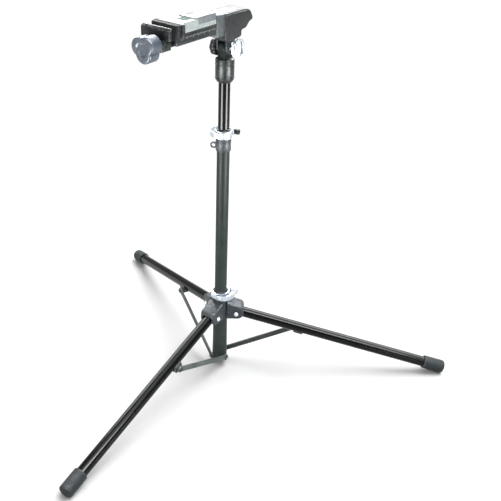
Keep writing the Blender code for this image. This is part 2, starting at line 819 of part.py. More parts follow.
def build_mast(stand):
    """The telescoping mast, its lower bush and the socket with the tilt tongue."""
    mast = place("mast", stand)
    inner = MAST_R - MAST_WALL
    tube("mast_tube", MAST_R, inner, MAST_LOW, MAST_TOP, mast, "black_tube")
    disc = COLUMN_R - COLUMN_WALL - RUN
    turned(
        "mast_bush",
        [
            (0, MAST_LOW - GAP - MAST_BUSH_T),
            (disc, MAST_LOW - GAP - MAST_BUSH_T),
            (disc, MAST_LOW - GAP),
            (inner - RUN, MAST_LOW - GAP),
            (inner - RUN, MAST_LOW + MAST_SPIGOT),
            (0, MAST_LOW + MAST_SPIGOT),
        ],
        mast,
        "black_plastic",
    )
    socket = turned(
        "head_socket",
        [
            (0, SOCKET_LOW),
            (SOCKET_R - 0.005, SOCKET_LOW),
            (SOCKET_R, SOCKET_LOW + SOCKET_TAPER),
            (SOCKET_R, SOCKET_TOP - 0.001),
            (SOCKET_R - 0.001, SOCKET_TOP),
            (0, SOCKET_TOP),
        ],
        mast,
        "grey_tube",
        sides=24,
    )
    turn = Matrix.Rotation(ARM_AZIMUTH, 4, "Z")
    tilt = place("tilt_tongue", mast, at=(0, 0, AXLE_Z), turn=turn)
    root = SOCKET_TOP - AXLE_Z - 0.004
    outline = [(-TONGUE_R, root), (TONGUE_R, root)] + arc(0, 0, TONGUE_R, 0, 180, 12)
    tongue = prism("tongue_block", outline, -TONGUE_HALF, TONGUE_HALF, tilt, axis="Y")
    join(socket, tongue)
    bore = rod("socket_bore", MAST_R + GAP, 0, SOCKET_LOW + SOCKET_BORE_DEPTH, mast, sides=FINE)
    hole = rod("tongue_hole", AXLE_R + RUN, -LONG, LONG, tilt, axis="Y")
    cut(socket, bore, hole)


def build_tilt(head):
    """The fork over the tongue, with its axle, tightening knob and cam lever."""
    top = BODY_FLOOR - GAP
    outline = [(TONGUE_R, top), (-TONGUE_R, top)] + arc(0, 0, TONGUE_R, 180, 360, 12)
    fork = prism("tilt_fork", outline, -FORK_HALF, FORK_HALF, head, "grey_tube", "Y")
    half = TONGUE_HALF + GAP
    roof = TONGUE_R + BRIDGE_GAP
    slot = box("fork_slot", (-LONG, -half, -LONG), (LONG, half, roof), head)
    hole = rod("fork_hole", AXLE_R + RUN, -LONG, LONG, head, axis="Y")
    cut(fork, slot, hole)
    knob_in = FORK_HALF + GAP
    depth = 0.6 * KNOB_T
    rod("tilt_axle", AXLE_R, -knob_in - depth + GAP, FORK_HALF, head, "steel", "Y")
    knob = place("tilt_knob_axis", head)
    outline = []
    steps = 6 * KNOB_LOBES
    for step in range(steps):
        angle = 2 * math.pi * step / steps
        radius = KNOB_R - KNOB_DIP * (0.5 - 0.5 * math.cos(KNOB_LOBES * angle))
        outline.append((radius * math.cos(angle), radius * math.sin(angle)))
    grip = prism("tilt_knob", outline, -knob_in - KNOB_T, -knob_in, knob, "black_plastic", "Y")
    socket = rod("tilt_knob_bore", AXLE_R + RUN, -knob_in - depth, LONG, knob, axis="Y")
    cut(grip, socket)
    build_cam_lever(head)


def build_cam_lever(head):
    """The cam lever on the fork's right side: an upright barrel and a crescent blade."""
    barrel_y = FORK_HALF + GAP + CAM_BARREL_R
    pivot = place("cam_lever_pivot", head, at=(-0.002, barrel_y, 0))
    half = CAM_LEVER_T
    lever = rod("cam_lever", CAM_BARREL_R, -0.013, 0.017, pivot, "bright")
    blade_y = FORK_HALF + CAM_LEVER_GAP - barrel_y
    path = []
    for angle in range(70, 231, 16):
        across = math.radians(angle)
        path.append((-0.017 + 0.016 * math.cos(across), 0.0245 * math.sin(across) - 0.002))
    path = [(-0.001, 0.0125), (-0.005, 0.0180)] + path
    left = []
    right = []
    for i, point in enumerate(path):
        before = Vector(path[max(i - 1, 0)])
        after = Vector(path[min(i + 1, len(path) - 1)])
        along = (after - before).normalized()
        side = Vector((-along.y, along.x)) * half / 2
        left.append(tuple(Vector(point) + side))
        right.append(tuple(Vector(point) - side))
    outline = left + right[::-1]
    blade = prism("cam_lever_blade", outline, blade_y, blade_y + CAM_LEVER_W, pivot, axis="Y")
    low = (-0.0045, 0, 0.0095)
    high = (0.0035, blade_y + CAM_LEVER_W, 0.0165)
    neck = box("cam_lever_neck", low, high, pivot)
    join(lever, soften(neck, 0.001, 1), soften(blade, 0.0012, 1))


def build_head_body(head):
    """The head's housing, side plates and front collar."""
    back = BODY_BACK
    outline = [
        (BODY_FRONT, BODY_FLOOR),
        (BODY_FRONT, BODY_TOP),
        (back + 0.028, BODY_TOP),
        (back + 0.014, BODY_TOP - 0.005),
        (back + 0.004, BODY_TOP - 0.014),
        (back, BODY_TOP - 0.026),
        (back + 0.004, BODY_TOP - 0.034),
        (back + 0.028, BODY_TOP - 0.040),
        (back + 0.030, BODY_FLOOR),
    ]
    body = prism("head_body", outline, -BODY_HALF, BODY_HALF, head, "casting", "Y")
    soften(body, 0.003)
    inside = BODY_HALF + GAP
    outside = inside + PLATE_T
    top = BODY_TOP - 0.004
    shell = [(BODY_FRONT - 0.002, top), (back + 0.027, top), (back + 0.006, BODY_TOP - 0.018)]
    shell += [(back + 0.003, BODY_TOP - 0.030), (back + 0.018, BODY_TOP - 0.0345)]
    left = shell + [(back + 0.034, BODY_FLOOR + 0.002), (BODY_FRONT - 0.002, BODY_FLOOR + 0.002)]
    right = shell + [
        (back + 0.030, BODY_FLOOR + 0.001),
        (-0.029, BODY_FLOOR - 0.001),
        (-0.029, SKIRT_FLOOR + 0.006),
        (-0.011, SKIRT_FLOOR + 0.004),
        (0.010, SKIRT_FLOOR),
        (0.020, SKIRT_FLOOR - 0.001),
        (BODY_FRONT - 0.003, SKIRT_FLOOR + 0.005),
    ]
    prism("side_plate_left", left, -outside, -inside, head, "casting", "Y")
    prism("side_plate_right", right, inside, outside, head, "casting", "Y")
    low = (BODY_FRONT + GAP, -FRONT_HALF, BODY_FLOOR - 0.004)
    high = (BODY_FRONT + GAP + FRONT_LENGTH, FRONT_HALF, BODY_TOP + 0.002)
    front = box("front_collar", low, high, head, "casting")
    soften(front, 0.0025)
    bore = box(
        "front_collar_bore",
        (BODY_FRONT + 0.015, -CARRIAGE_HALF, RAIL_FLOOR),
        (LONG, CARRIAGE_HALF, RAIL_TOP - RAIL_ROOF),
        head,
    )
    cut(front, bore)


def build_rail(head):
    """The rail that guides the outer jaw, the fixed jaw on top of it and the jaw's cover."""
    step = RAIL_END - PLATE_LENGTH - GAP
    outline = [
        (RAIL_START, RAIL_FLOOR),
        (RAIL_END, RAIL_FLOOR),
        (RAIL_END, PLATE_FLOOR - GAP),
        (step, PLATE_FLOOR - GAP),
        (step, RAIL_TOP),
        (RAIL_START, RAIL_TOP),
    ]
    rail = prism("rail", outline, -RAIL_HALF, RAIL_HALF, head, "casting", "Y")
    soften(rail, 0.001, 1)
    channel_half = RAIL_HALF - RAIL_WALL
    channel = box(
        "rail_channel", (0, -channel_half, 0), (LONG, channel_half, RAIL_TOP - RAIL_ROOF), head
    )
    cut(rail, channel)

    low = RAIL_TOP + GAP
    lead = JAW_STEP_X + 0.005
    outline = [
        (RAIL_START, low),
        (step, low),
        (step, JAW_TOP),
        (lead, JAW_TOP),
        (JAW_STEP_X, JAW_STEP_Z),
        (RAIL_START, JAW_STEP_Z),
    ]
    jaw = prism("jaw_body", outline, -RAIL_HALF, RAIL_HALF, head, "white_jaw", "Y")
    soften(jaw, 0.0015)
    recess = box(
        "jaw_recess",
        (RECESS_X, -RECESS_HALF, JAW_TOP - RECESS_DEPTH),
        (RECESS_X + RECESS_LENGTH, RECESS_HALF, LONG),
        head,
    )
    cut(jaw, recess)
    seat = JAW_STEP_Z + GAP
    clear = 2 * GAP
    outline = [
        (RAIL_START + 0.001, seat),
        (JAW_STEP_X - clear, seat),
        (lead - clear, JAW_TOP + GAP),
        (RECESS_X - 0.002, JAW_TOP + GAP),
        (RECESS_X - 0.002, JAW_TOP + COVER_LIP_T),
        (JAW_STEP_X, COVER_TOP),
        (RAIL_START + 0.001, COVER_TOP),
    ]
    cover = prism("jaw_cover", outline, -RAIL_HALF, RAIL_HALF, head, "black_plastic", "Y")
    soften(cover, 0.001, 1)
    plate = box(
        "jaw_plate",
        (RAIL_END - PLATE_LENGTH, -PLATE_HALF, PLATE_FLOOR),
        (RAIL_END, PLATE_HALF, PLATE_TOP),
        head,
        "bright",
    )
    soften(plate, 0.0015)
    outline = pad_outline(RAIL_END + GAP, INNER_PAD_END, PAD_HALF, 1)
    prism("inner_pad", outline, PAD_FLOOR, PAD_TOP, head, "rubber")


def pad_outline(back, face, half, direction):
    """Plan of a rubber pad with a shallow V down the middle of its gripping face."""
    notch = 0.003
    edge = 0.002
    return [
        (back, -half),
        (back, half),
        (face - direction * edge, half),
        (face, half - edge),
        (face, 3 * notch),
        (face - direction * notch, 0),
        (face, -3 * notch),
        (face, edge - half),
        (face - direction * edge, -half),
    ]


def build_outer_jaw(head):
    """The sliding jaw: carriage, bar and pad, with the screw and its grip."""
    jaw = place("outer_jaw", head)
    high = OUTER_FLOOR - GAP
    low = PAD_FLOOR - 0.001
    outline = [
        (CARRIAGE_X, CARRIAGE_FLOOR),
        (CARRIAGE_END, CARRIAGE_FLOOR),
        (CARRIAGE_END, high),
        (OUTER_PAD_X, high),
        (OUTER_PAD_X, low),
        (CARRIAGE_X, low),
    ]
    carriage = prism("jaw_carriage", outline, -CARRIAGE_HALF, CARRIAGE_HALF, jaw, "grey_tube", "Y")
    soften(carriage, 0.0015)
    tongue_half = RAIL_HALF - RAIL_WALL - RUN
    tongue = box(
        "carriage_tongue",
        (CARRIAGE_X - TONGUE_BACK, -tongue_half, RAIL_FLOOR - 0.001),
        (CARRIAGE_X + 0.005, tongue_half, low - GAP),
        jaw,
    )
    join(carriage, tongue)
    hole = rod("carriage_bore", SCREW_R + RUN, 0, LONG, jaw, axis="X", shift=(0, SCREW_Z))
    cut(carriage, hole)
    outline = pad_outline(OUTER_PAD_X + OUTER_PAD_T, OUTER_PAD_X, PAD_HALF, -1)
    prism("outer_pad", outline, OUTER_FLOOR, OUTER_TOP - 0.001, jaw, "rubber")
    back = OUTER_BAR_X
    front = OUTER_BAR_X + OUTER_BAR_T
    outline = [(back, OUTER_FLOOR), (front, OUTER_FLOOR), (front, OUTER_TOP - 0.005)]
    outline += [(back + 0.003, OUTER_TOP), (back, OUTER_TOP)]
    bar = prism("outer_jaw_bar", outline, -PLATE_HALF, PLATE_HALF, jaw, "black_plastic", "Y")
    soften(bar, 0.001, 1)

    screw = place("clamp_screw_axis", jaw, at=(0, 0, SCREW_Z))
    rod("clamp_screw", SCREW_R, SCREW_BACK, GRIP_X + 0.7 * GRIP_LENGTH, screw, "steel", "X")
    outline = []
    steps = 42
    for step in range(steps):
        angle = 2 * math.pi * step / steps
        wave = 0.5 + 0.5 * math.cos(3 * (angle - math.radians(40)))
        radius = GRIP_VALLEY + (GRIP_R - GRIP_VALLEY) * wave**0.45
        outline.append((radius * math.cos(angle), radius * math.sin(angle)))
    grip = prism("clamp_knob", outline, GRIP_X, GRIP_X + GRIP_LENGTH, screw, "casting", "X")
    soften(grip, 0.003)
    neck = rod("grip_neck", GRIP_NECK_R, CARRIAGE_END + 2 * GAP, GRIP_X + 0.005, screw, axis="X")
    deep = GRIP_X + 0.7 * GRIP_LENGTH + GAP
    bore = rod("grip_bore", SCREW_R + RUN, 0, deep, screw, axis="X")
    join(grip, neck)
    cut(grip, bore)


def main():
    """Clears the scene and builds the stand."""
    for old in list(bpy.data.objects):
        bpy.data.objects.remove(old)
    stand = place("stand", at=(COLUMN_X, 0, 0))
    base = build_base(stand)
    build_collar(base)
    build_hub(stand)
    for number, turn in leg_turns():
        build_leg(stand, number, turn)
        build_strut(stand, number, turn)
    build_mast(stand)
    turn = Matrix.Rotation(ARM_AZIMUTH, 4, "Z")
    head = place("head", stand, at=(0, 0, AXLE_Z), turn=turn)
    build_tilt(head)
    build_head_body(head)
    build_rail(head)
    build_outer_jaw(head)


main()
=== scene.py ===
"""Looks of the folding bicycle repair stand: fine surfaces, finishes, floor, light and camera.

Metres, +Z up.  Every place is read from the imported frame.  A piece is worked out with numpy in the
frame of its own sub-assembly and put into its mesh at its place, so its object sits at the origin.
"""

import json
import logging
import math
from dataclasses import dataclass, field
from enum import Enum

import bmesh
import bpy
import numpy as np
from mathutils import Matrix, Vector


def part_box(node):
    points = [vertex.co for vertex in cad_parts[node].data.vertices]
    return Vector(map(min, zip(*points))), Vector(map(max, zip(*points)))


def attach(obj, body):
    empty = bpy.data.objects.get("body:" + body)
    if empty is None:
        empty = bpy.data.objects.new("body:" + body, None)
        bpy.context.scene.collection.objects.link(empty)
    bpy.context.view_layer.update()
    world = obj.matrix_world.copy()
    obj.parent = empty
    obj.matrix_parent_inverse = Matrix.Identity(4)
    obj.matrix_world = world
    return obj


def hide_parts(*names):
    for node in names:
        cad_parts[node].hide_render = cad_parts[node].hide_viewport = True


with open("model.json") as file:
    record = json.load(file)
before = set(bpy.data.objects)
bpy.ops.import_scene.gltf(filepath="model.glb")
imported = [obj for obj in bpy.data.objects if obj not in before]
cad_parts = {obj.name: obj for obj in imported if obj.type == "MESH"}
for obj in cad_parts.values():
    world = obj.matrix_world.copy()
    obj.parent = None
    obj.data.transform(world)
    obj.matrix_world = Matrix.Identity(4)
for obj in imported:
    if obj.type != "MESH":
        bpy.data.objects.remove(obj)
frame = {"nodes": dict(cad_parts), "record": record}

LOG = logging.getLogger("stand")
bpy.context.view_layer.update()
TAU = 2 * math.pi
FINE = 96  # sides of a large round piece
SMALL = 48  # sides of a small round piece
LEGS = (1, 2, 3)
MARK_TURNS = (232, 268)  # degrees round the leg between which its marks lie
MARK_STEPS = 13


class Along(Enum):
    """Which local axis a profile is turned about or carried along."""

    X = (2, 0, 1)
    Y = (0, 2, 1)
    Z = (0, 1, 2)


# ---------------------------------------------------------------- finishes


@dataclass(frozen=True)
class Finish:
    """A surface finish: colour with slow mottling, fine grain, scuffs and worn edges.

    Colours are linear.  Sizes of the patterns are given as features per metre.
    """

    name: str
    colour: tuple[float, float, float]
    second: tuple[float, float, float]
    roughness: float
    metallic: float = 0.0
    coat: float = 0.0
    mottle: float = 22.0
    grain: float = 900.0
    bump: float = 0.12
    stretch: tuple[float, float, float] = (1.0, 1.0, 1.0)
    scuff: float = 0.08
    shine: float = 0.3
    wear: float = 0.25
    worn: tuple[float, float, float] = (0.3, 0.3, 0.3)

    def material(self) -> bpy.types.Material:
        """Builds the finish's node material once.

        Returns:
            The material, shared by every piece with this finish.
        """
        name = f"finish_{self.name}"
        made = bpy.data.materials.get(name)
        if made:
            return made
        made = bpy.data.materials.new(name)
        made.use_nodes = True
        tree = made.node_tree
        shader = tree.nodes["Principled BSDF"]
        shader.inputs["Metallic"].default_value = self.metallic
        shader.inputs["Specular IOR Level"].default_value = self.shine
        shader.inputs["Coat Weight"].default_value = self.coat
        shader.inputs["Coat Roughness"].default_value = 0.12
        place = tree.nodes.new("ShaderNodeTexCoord").outputs["Object"]
        mapping = tree.nodes.new("ShaderNodeMapping")
        mapping.inputs["Scale"].default_value = self.stretch
        tree.links.new(place, mapping.inputs["Vector"])
        slow = self._noise(tree, place, self.mottle, 4.0)
        fine = self._noise(tree, place, self.grain, 2.0)
        marks = self._noise(tree, mapping.outputs["Vector"], self.mottle * 6, 6.0)
        base = self._mix(tree, self._window(tree, slow, 0.35, 0.65), self.colour, self.second)
        edge = tree.nodes.new("ShaderNodeNewGeometry").outputs["Pointiness"]
        rim = self._window(tree, edge, 0.52, 0.60)
        broken = self._times(tree, rim, self._window(tree, marks, 0.40, 0.60))
        share = self._times(tree, broken, self.wear)
        worn = tree.nodes.new("ShaderNodeMix")
        worn.data_type = "RGBA"
        tree.links.new(share, worn.inputs["Factor"])
        tree.links.new(base, worn.inputs["A"])
        worn.inputs["B"].default_value = (*self.worn, 1)
        tree.links.new(worn.outputs["Result"], shader.inputs["Base Color"])
        rough = tree.nodes.new("ShaderNodeMapRange")
        rough.inputs["From Min"].default_value = 0.3
        rough.inputs["From Max"].default_value = 0.7
        rough.inputs["To Min"].default_value = max(self.roughness - self.scuff, 0.03)
        rough.inputs["To Max"].default_value = min(self.roughness + self.scuff, 1.0)
        tree.links.new(marks, rough.inputs["Value"])
        tree.links.new(rough.outputs["Result"], shader.inputs["Roughness"])
        bump = tree.nodes.new("ShaderNodeBump")
        bump.inputs["Strength"].default_value = self.bump
        bump.inputs["Distance"].default_value = 0.0006
        tree.links.new(fine, bump.inputs["Height"])
        tree.links.new(bump.outputs["Normal"], shader.inputs["Normal"])
        return made

    @staticmethod
    def _noise(
        tree: bpy.types.NodeTree, vector: bpy.types.NodeSocket, scale: float, detail: float
    ) -> bpy.types.NodeSocket:
        """Adds a noise texture and returns its factor.

        Args:
            tree: The node tree.
            vector: Where the pattern is read.
            scale: How many features a metre holds.
            detail: How many octaves it has.

        Returns:
            The factor of the pattern.
        """
        node = tree.nodes.new("ShaderNodeTexNoise")
        node.inputs["Scale"].default_value = scale
        node.inputs["Detail"].default_value = detail
        tree.links.new(vector, node.inputs["Vector"])
        return node.outputs["Fac"]

    @staticmethod
    def _window(
        tree: bpy.types.NodeTree, value: bpy.types.NodeSocket, low: float, high: float
    ) -> bpy.types.NodeSocket:
        """Maps low..high of a value to 0..1 and returns the result.

        Args:
            tree: The node tree.
            value: The value.
            low: The low end.
            high: The high end.

        Returns:
            The mapped value.
        """
        node = tree.nodes.new("ShaderNodeMapRange")
        node.inputs["From Min"].default_value = low
        node.inputs["From Max"].default_value = high
        tree.links.new(value, node.inputs["Value"])
        return node.outputs["Result"]

    @staticmethod
    def _times(
        tree: bpy.types.NodeTree, value: bpy.types.NodeSocket, other: bpy.types.NodeSocket | float
    ) -> bpy.types.NodeSocket:
        """Multiplies a value by another one, or by a number.

        Args:
            tree: The node tree.
            value: The value.
            other: The other value.

        Returns:
            The product.
        """
        node = tree.nodes.new("ShaderNodeMath")
        node.operation = "MULTIPLY"
        tree.links.new(value, node.inputs[0])
        if isinstance(other, float):
            node.inputs[1].default_value = other
        else:
            tree.links.new(other, node.inputs[1])
        return node.outputs["Value"]

    @staticmethod
    def _mix(
        tree: bpy.types.NodeTree,
        factor: bpy.types.NodeSocket,
        first: tuple[float, float, float],
        second: tuple[float, float, float],
    ) -> bpy.types.NodeSocket:
        """Mixes two colours by a factor and returns the colour.

        Args:
            tree: The node tree.
            factor: The share of the second colour.
            first: The first colour.
            second: The second colour.

        Returns:
            The mixed colour.
        """
        node = tree.nodes.new("ShaderNodeMix")
        node.data_type = "RGBA"
        tree.links.new(factor, node.inputs["Factor"])
        node.inputs["A"].default_value = (*first, 1)
        node.inputs["B"].default_value = (*second, 1)
        return node.outputs["Result"]


BLACK_TUBE = Finish(
    "black_anodised", (0.0030, 0.0038, 0.0042), (0.0048, 0.0060, 0.0064), 0.13,
    grain=1500.0, bump=0.0015, scuff=0.02, shine=0.16, wear=0.3, worn=(0.12, 0.12, 0.12),
)
GREY_TUBE = Finish(
    "column_grey", (0.050, 0.067, 0.064), (0.062, 0.081, 0.077), 0.30,
    grain=1800.0, bump=0.004, scuff=0.04, shine=0.06, wear=0.3, worn=(0.20, 0.21, 0.21),
)
SOCKET_DARK = Finish(
    "socket_teal", (0.008, 0.013, 0.014), (0.014, 0.021, 0.022), 0.34,
    grain=1600.0, bump=0.02, scuff=0.08, shine=0.22, wear=0.7, worn=(0.16, 0.19, 0.20),
)
CASTING = Finish(
    "casting_blue_grey", (0.030, 0.042, 0.052), (0.052, 0.068, 0.080), 0.42,
    grain=1300.0, bump=0.35, scuff=0.08, shine=0.3, wear=0.8, worn=(0.28, 0.33, 0.37),
)
BRACKET_DARK = Finish(
    "bracket_dark", (0.012, 0.016, 0.017), (0.024, 0.030, 0.031), 0.40,
    grain=1300.0, bump=0.25, scuff=0.08, shine=0.3, wear=0.8, worn=(0.22, 0.25, 0.26),
)
HOUSING = Finish(
    "housing_grey", (0.014, 0.018, 0.020), (0.024, 0.029, 0.031), 0.36,
    grain=1200.0, bump=0.25, scuff=0.08, shine=0.3, wear=0.9, worn=(0.26, 0.28, 0.30),
)
COLLAR_ROUGH = Finish(
    "speckled_collar", (0.030, 0.042, 0.048), (0.11, 0.135, 0.145), 0.42,
    mottle=230.0, grain=1100.0, bump=0.45, scuff=0.1, shine=0.3, wear=0.9, worn=(0.36, 0.40, 0.42),
)
RAIL_DARK = Finish(
    "rail_dark", (0.012, 0.018, 0.020), (0.022, 0.030, 0.032), 0.34, 0.2,
    grain=1500.0, bump=0.10, stretch=(0.2, 0.2, 3.0), scuff=0.1, shine=0.3, wear=0.9,
    worn=(0.34, 0.37, 0.38),
)
GRIP_BLUE = Finish(
    "grip_blue_grey", (0.075, 0.103, 0.140), (0.120, 0.155, 0.200), 0.36,
    grain=1100.0, bump=0.15, scuff=0.08, shine=0.45, wear=1.0, worn=(0.42, 0.48, 0.56),
)
BLACK_PLASTIC = Finish(
    "black_moulding", (0.0045, 0.006, 0.0075), (0.009, 0.011, 0.013), 0.36,
    grain=1400.0, bump=0.20, scuff=0.1, shine=0.25, wear=0.8, worn=(0.10, 0.12, 0.13),
)
COVER_GREY = Finish(
    "cover_grey", (0.200, 0.235, 0.245), (0.290, 0.330, 0.340), 0.36, 0.1,
    mottle=70.0, grain=1200.0, bump=0.25, scuff=0.1, wear=0.9, worn=(0.42, 0.46, 0.47),
)
FOOT_RUBBER = Finish(
    "foot_rubber", (0.020, 0.026, 0.029), (0.036, 0.044, 0.048), 0.60,
    grain=1000.0, bump=0.45, scuff=0.1, shine=0.2, wear=0.8, worn=(0.16, 0.19, 0.20),
)
PAD_RUBBER = Finish(
    "pad_rubber", (0.004, 0.0055, 0.006), (0.009, 0.011, 0.012), 0.66,
    grain=1000.0, bump=0.5, scuff=0.1, shine=0.15, wear=0.6, worn=(0.06, 0.07, 0.07),
)
# Painted highlight: pale grey for the lit top edges of the black jaw plate and the outer jaw bar.
TOP_HIGHLIGHT = Finish(
    "painted_top_highlight", (0.20, 0.24, 0.255), (0.34, 0.39, 0.40), 0.50,
    mottle=160.0, grain=900.0, bump=0.4, scuff=0.1, wear=0.5, worn=(0.55, 0.58, 0.60),
)
# Painted light and shade: one strut finish, as a lit copy for strut 1 and a shaded copy for struts 2 and
# 3.
STRUT_LIT = Finish(
    "strut_painted_lit", (0.085, 0.105, 0.098), (0.135, 0.160, 0.148), 0.42, 0.2,
    grain=1500.0, bump=0.12, stretch=(1.0, 1.0, 4.0), scuff=0.12, wear=0.8, worn=(0.42, 0.44, 0.42),
)
STRUT_SHADED = Finish(
    "strut_painted_shade", (0.030, 0.038, 0.036), (0.055, 0.066, 0.062), 0.42, 0.2,
    grain=1500.0, bump=0.12, stretch=(1.0, 1.0, 4.0), scuff=0.12, wear=0.8, worn=(0.34, 0.36, 0.34),
)
BOLT_STEEL = Finish(
    "bolt_bright", (0.74, 0.76, 0.78), (0.86, 0.88, 0.90), 0.24, 0.4,
    grain=1500.0, bump=0.05, wear=0.2, worn=(0.5, 0.5, 0.5),
)
BOLT_DARK = Finish(
    "bolt_dark", (0.020, 0.024, 0.024), (0.045, 0.050, 0.050), 0.36, 0.3,
    grain=1500.0, bump=0.10, wear=0.8, worn=(0.5, 0.52, 0.52),
)
BRIGHT = Finish(
    "bright_aluminium", (0.44, 0.50, 0.56), (0.72, 0.78, 0.83), 0.28, 0.5,
    mottle=120.0, grain=1300.0, bump=0.10, stretch=(1.0, 1.0, 5.0), scuff=0.12, wear=0.2,
    worn=(0.30, 0.33, 0.36),
)
WHITE_JAW = Finish(
    "white_jaw", (0.46, 0.53, 0.51), (0.62, 0.69, 0.67), 0.34, 0.1, 0.1,
    mottle=60.0, grain=1300.0, bump=0.08, scuff=0.1, wear=0.3, worn=(0.30, 0.34, 0.34),
)
MARK_WHITE = Finish(
    "mark_white", (0.62, 0.65, 0.65), (0.72, 0.75, 0.75), 0.5, wear=0.0, bump=0.02, scuff=0.05,
)
MARK_YELLOW = Finish(
    "mark_yellow", (0.62, 0.46, 0.04), (0.70, 0.53, 0.06), 0.5, wear=0.0, bump=0.02, scuff=0.05,
)
# Painted shadow: near-black for the sheet laid in the housing's slot, where there is only shade in the
# gap.
SHADOW_SLOT = Finish(
    "slot_painted_shadow", (0.002, 0.003, 0.003), (0.004, 0.005, 0.005), 0.6, shine=0.1, wear=0.0, bump=0.1,
)


# Each mark on a leg: where it starts and ends along the tube, and its finish.
LEG_MARKS = (
    (0.335, 0.395, MARK_WHITE),
    (0.402, 0.420, MARK_YELLOW),
    (0.427, 0.447, MARK_WHITE),
)


# ---------------------------------------------------------------- shapes


@dataclass(frozen=True)
class Place:
    """A local frame: an origin and three unit axes as rows."""

    origin: np.ndarray
    axes: np.ndarray = field(default_factory=lambda: np.eye(3))

    def out(self, points: np.ndarray) -> np.ndarray:
        """World points of local ones: each coordinate times its axis, plus the origin."""
        return points @ self.axes + self.origin


def rounded(outline: np.ndarray, radius: float | np.ndarray, steps: int = 4) -> np.ndarray:
    """Rounds the corners of a closed outline.

    Each corner becomes a quadratic curve from a point on the side before it, through the corner
    as its control point, to a point on the side after it.

    Args:
        outline: Corners, as an array of two columns.
        radius: How far along each side the rounding starts, one number or one for each corner.
        steps: How many segments a rounding has.

    Returns:
        The points of the rounded outline.
    """
    before = np.roll(outline, 1, axis=0) - outline
    after = np.roll(outline, -1, axis=0) - outline
    to_before = np.linalg.norm(before, axis=1, keepdims=True)
    to_after = np.linalg.norm(after, axis=1, keepdims=True)
    reach = np.broadcast_to(np.asarray(radius, float).reshape(-1, 1), to_before.shape)
    reach = np.minimum(reach, 0.48 * np.minimum(to_before, to_after))
    start = outline + before / to_before * reach
    end = outline + after / to_after * reach
    t = np.linspace(0, 1, steps + 1)[None, :, None]
    curve = (1 - t) ** 2 * start[:, None] + 2 * t * (1 - t) * outline[:, None] + t**2 * end[:, None]
    return curve.reshape(-1, 2)


def arc(x: float, y: float, radius: float, start: float, end: float, steps: int) -> np.ndarray:
    """Points on a circle about (x, y): the centre plus radius times cosine and sine of the angle."""
    angle = np.radians(np.linspace(start, end, steps + 1))
    return np.stack([x + radius * np.cos(angle), y + radius * np.sin(angle)], axis=1)


def grid_faces(rows: int, columns: int, close_rows: bool, close_columns: bool) -> np.ndarray:
    """Quads of a grid of points, each from a point and its neighbours along and across.

    Args:
        rows: How many points go along.
        columns: How many points go across.
        close_rows: Whether the last row joins the first.
        close_columns: Whether the last column joins the first.

    Returns:
        Four indices for each face.
    """
    i = np.arange(rows if close_rows else rows - 1)
    j = np.arange(columns if close_columns else columns - 1)
    i, j = (a.ravel() for a in np.meshgrid(i, j, indexing="ij"))
    k, n = (i + 1) % rows, (j + 1) % columns
    return np.stack(
        [i * columns + j, i * columns + n, k * columns + n, k * columns + j], axis=1
    )


def make(
    name: str,
    points: np.ndarray,
    faces: list[tuple[int, ...]],
    finish: Finish,
    crease: float = 38.0,
) -> bpy.types.Object:
    """Puts world points and faces into a new object at the origin.

    Args:
        name: The piece's name.
        points: World points, three columns.
        faces: Indices of each face's corners.
        finish: The piece's finish.
        crease: Edges sharper than this many degrees stay sharp.

    Returns:
        The object, closed, facing outward and shaded smooth.
    """
    mesh = bpy.data.meshes.new(name)
    mesh.from_pydata(points.tolist(), [], faces)
    work = bmesh.new()
    work.from_mesh(mesh)
    bmesh.ops.remove_doubles(work, verts=work.verts, dist=1e-6)
    bmesh.ops.dissolve_degenerate(work, edges=work.edges, dist=1e-7)
    bmesh.ops.recalc_face_normals(work, faces=work.faces)
    work.to_mesh(mesh)
    work.free()
    mesh.shade_smooth()
    mesh.set_sharp_from_angle(angle=math.radians(crease))
    mesh.materials.append(finish.material())
    piece = bpy.data.objects.new(name, mesh)
    bpy.context.collection.objects.link(piece)
    return piece


def braced(profile: np.ndarray, reach: float = 0.0012) -> np.ndarray:
    """Adds a point near each end of every long straight stretch, so that it is shaded evenly.

    A stretch from a to b gets a + reach u and b - reach u, with u its direction of length 1.

    Args:
        profile: The closed loop of radius and height.
        reach: How far from the ends the points lie.

    Returns:
        The loop with the points in it.
    """
    ahead = np.roll(profile, -1, axis=0) - profile
    length = np.linalg.norm(ahead, axis=1)
    off_axis = (profile[:, 0] > 1e-9) | (np.roll(profile[:, 0], -1) > 1e-9)
    long = (length > 5 * reach) & off_axis
    step = reach * ahead / np.maximum(length, 1e-12)[:, None]
    points = np.stack([profile, profile + step, profile + ahead - step], axis=1)
    return points[np.stack([np.ones_like(long), long, long], axis=1)]


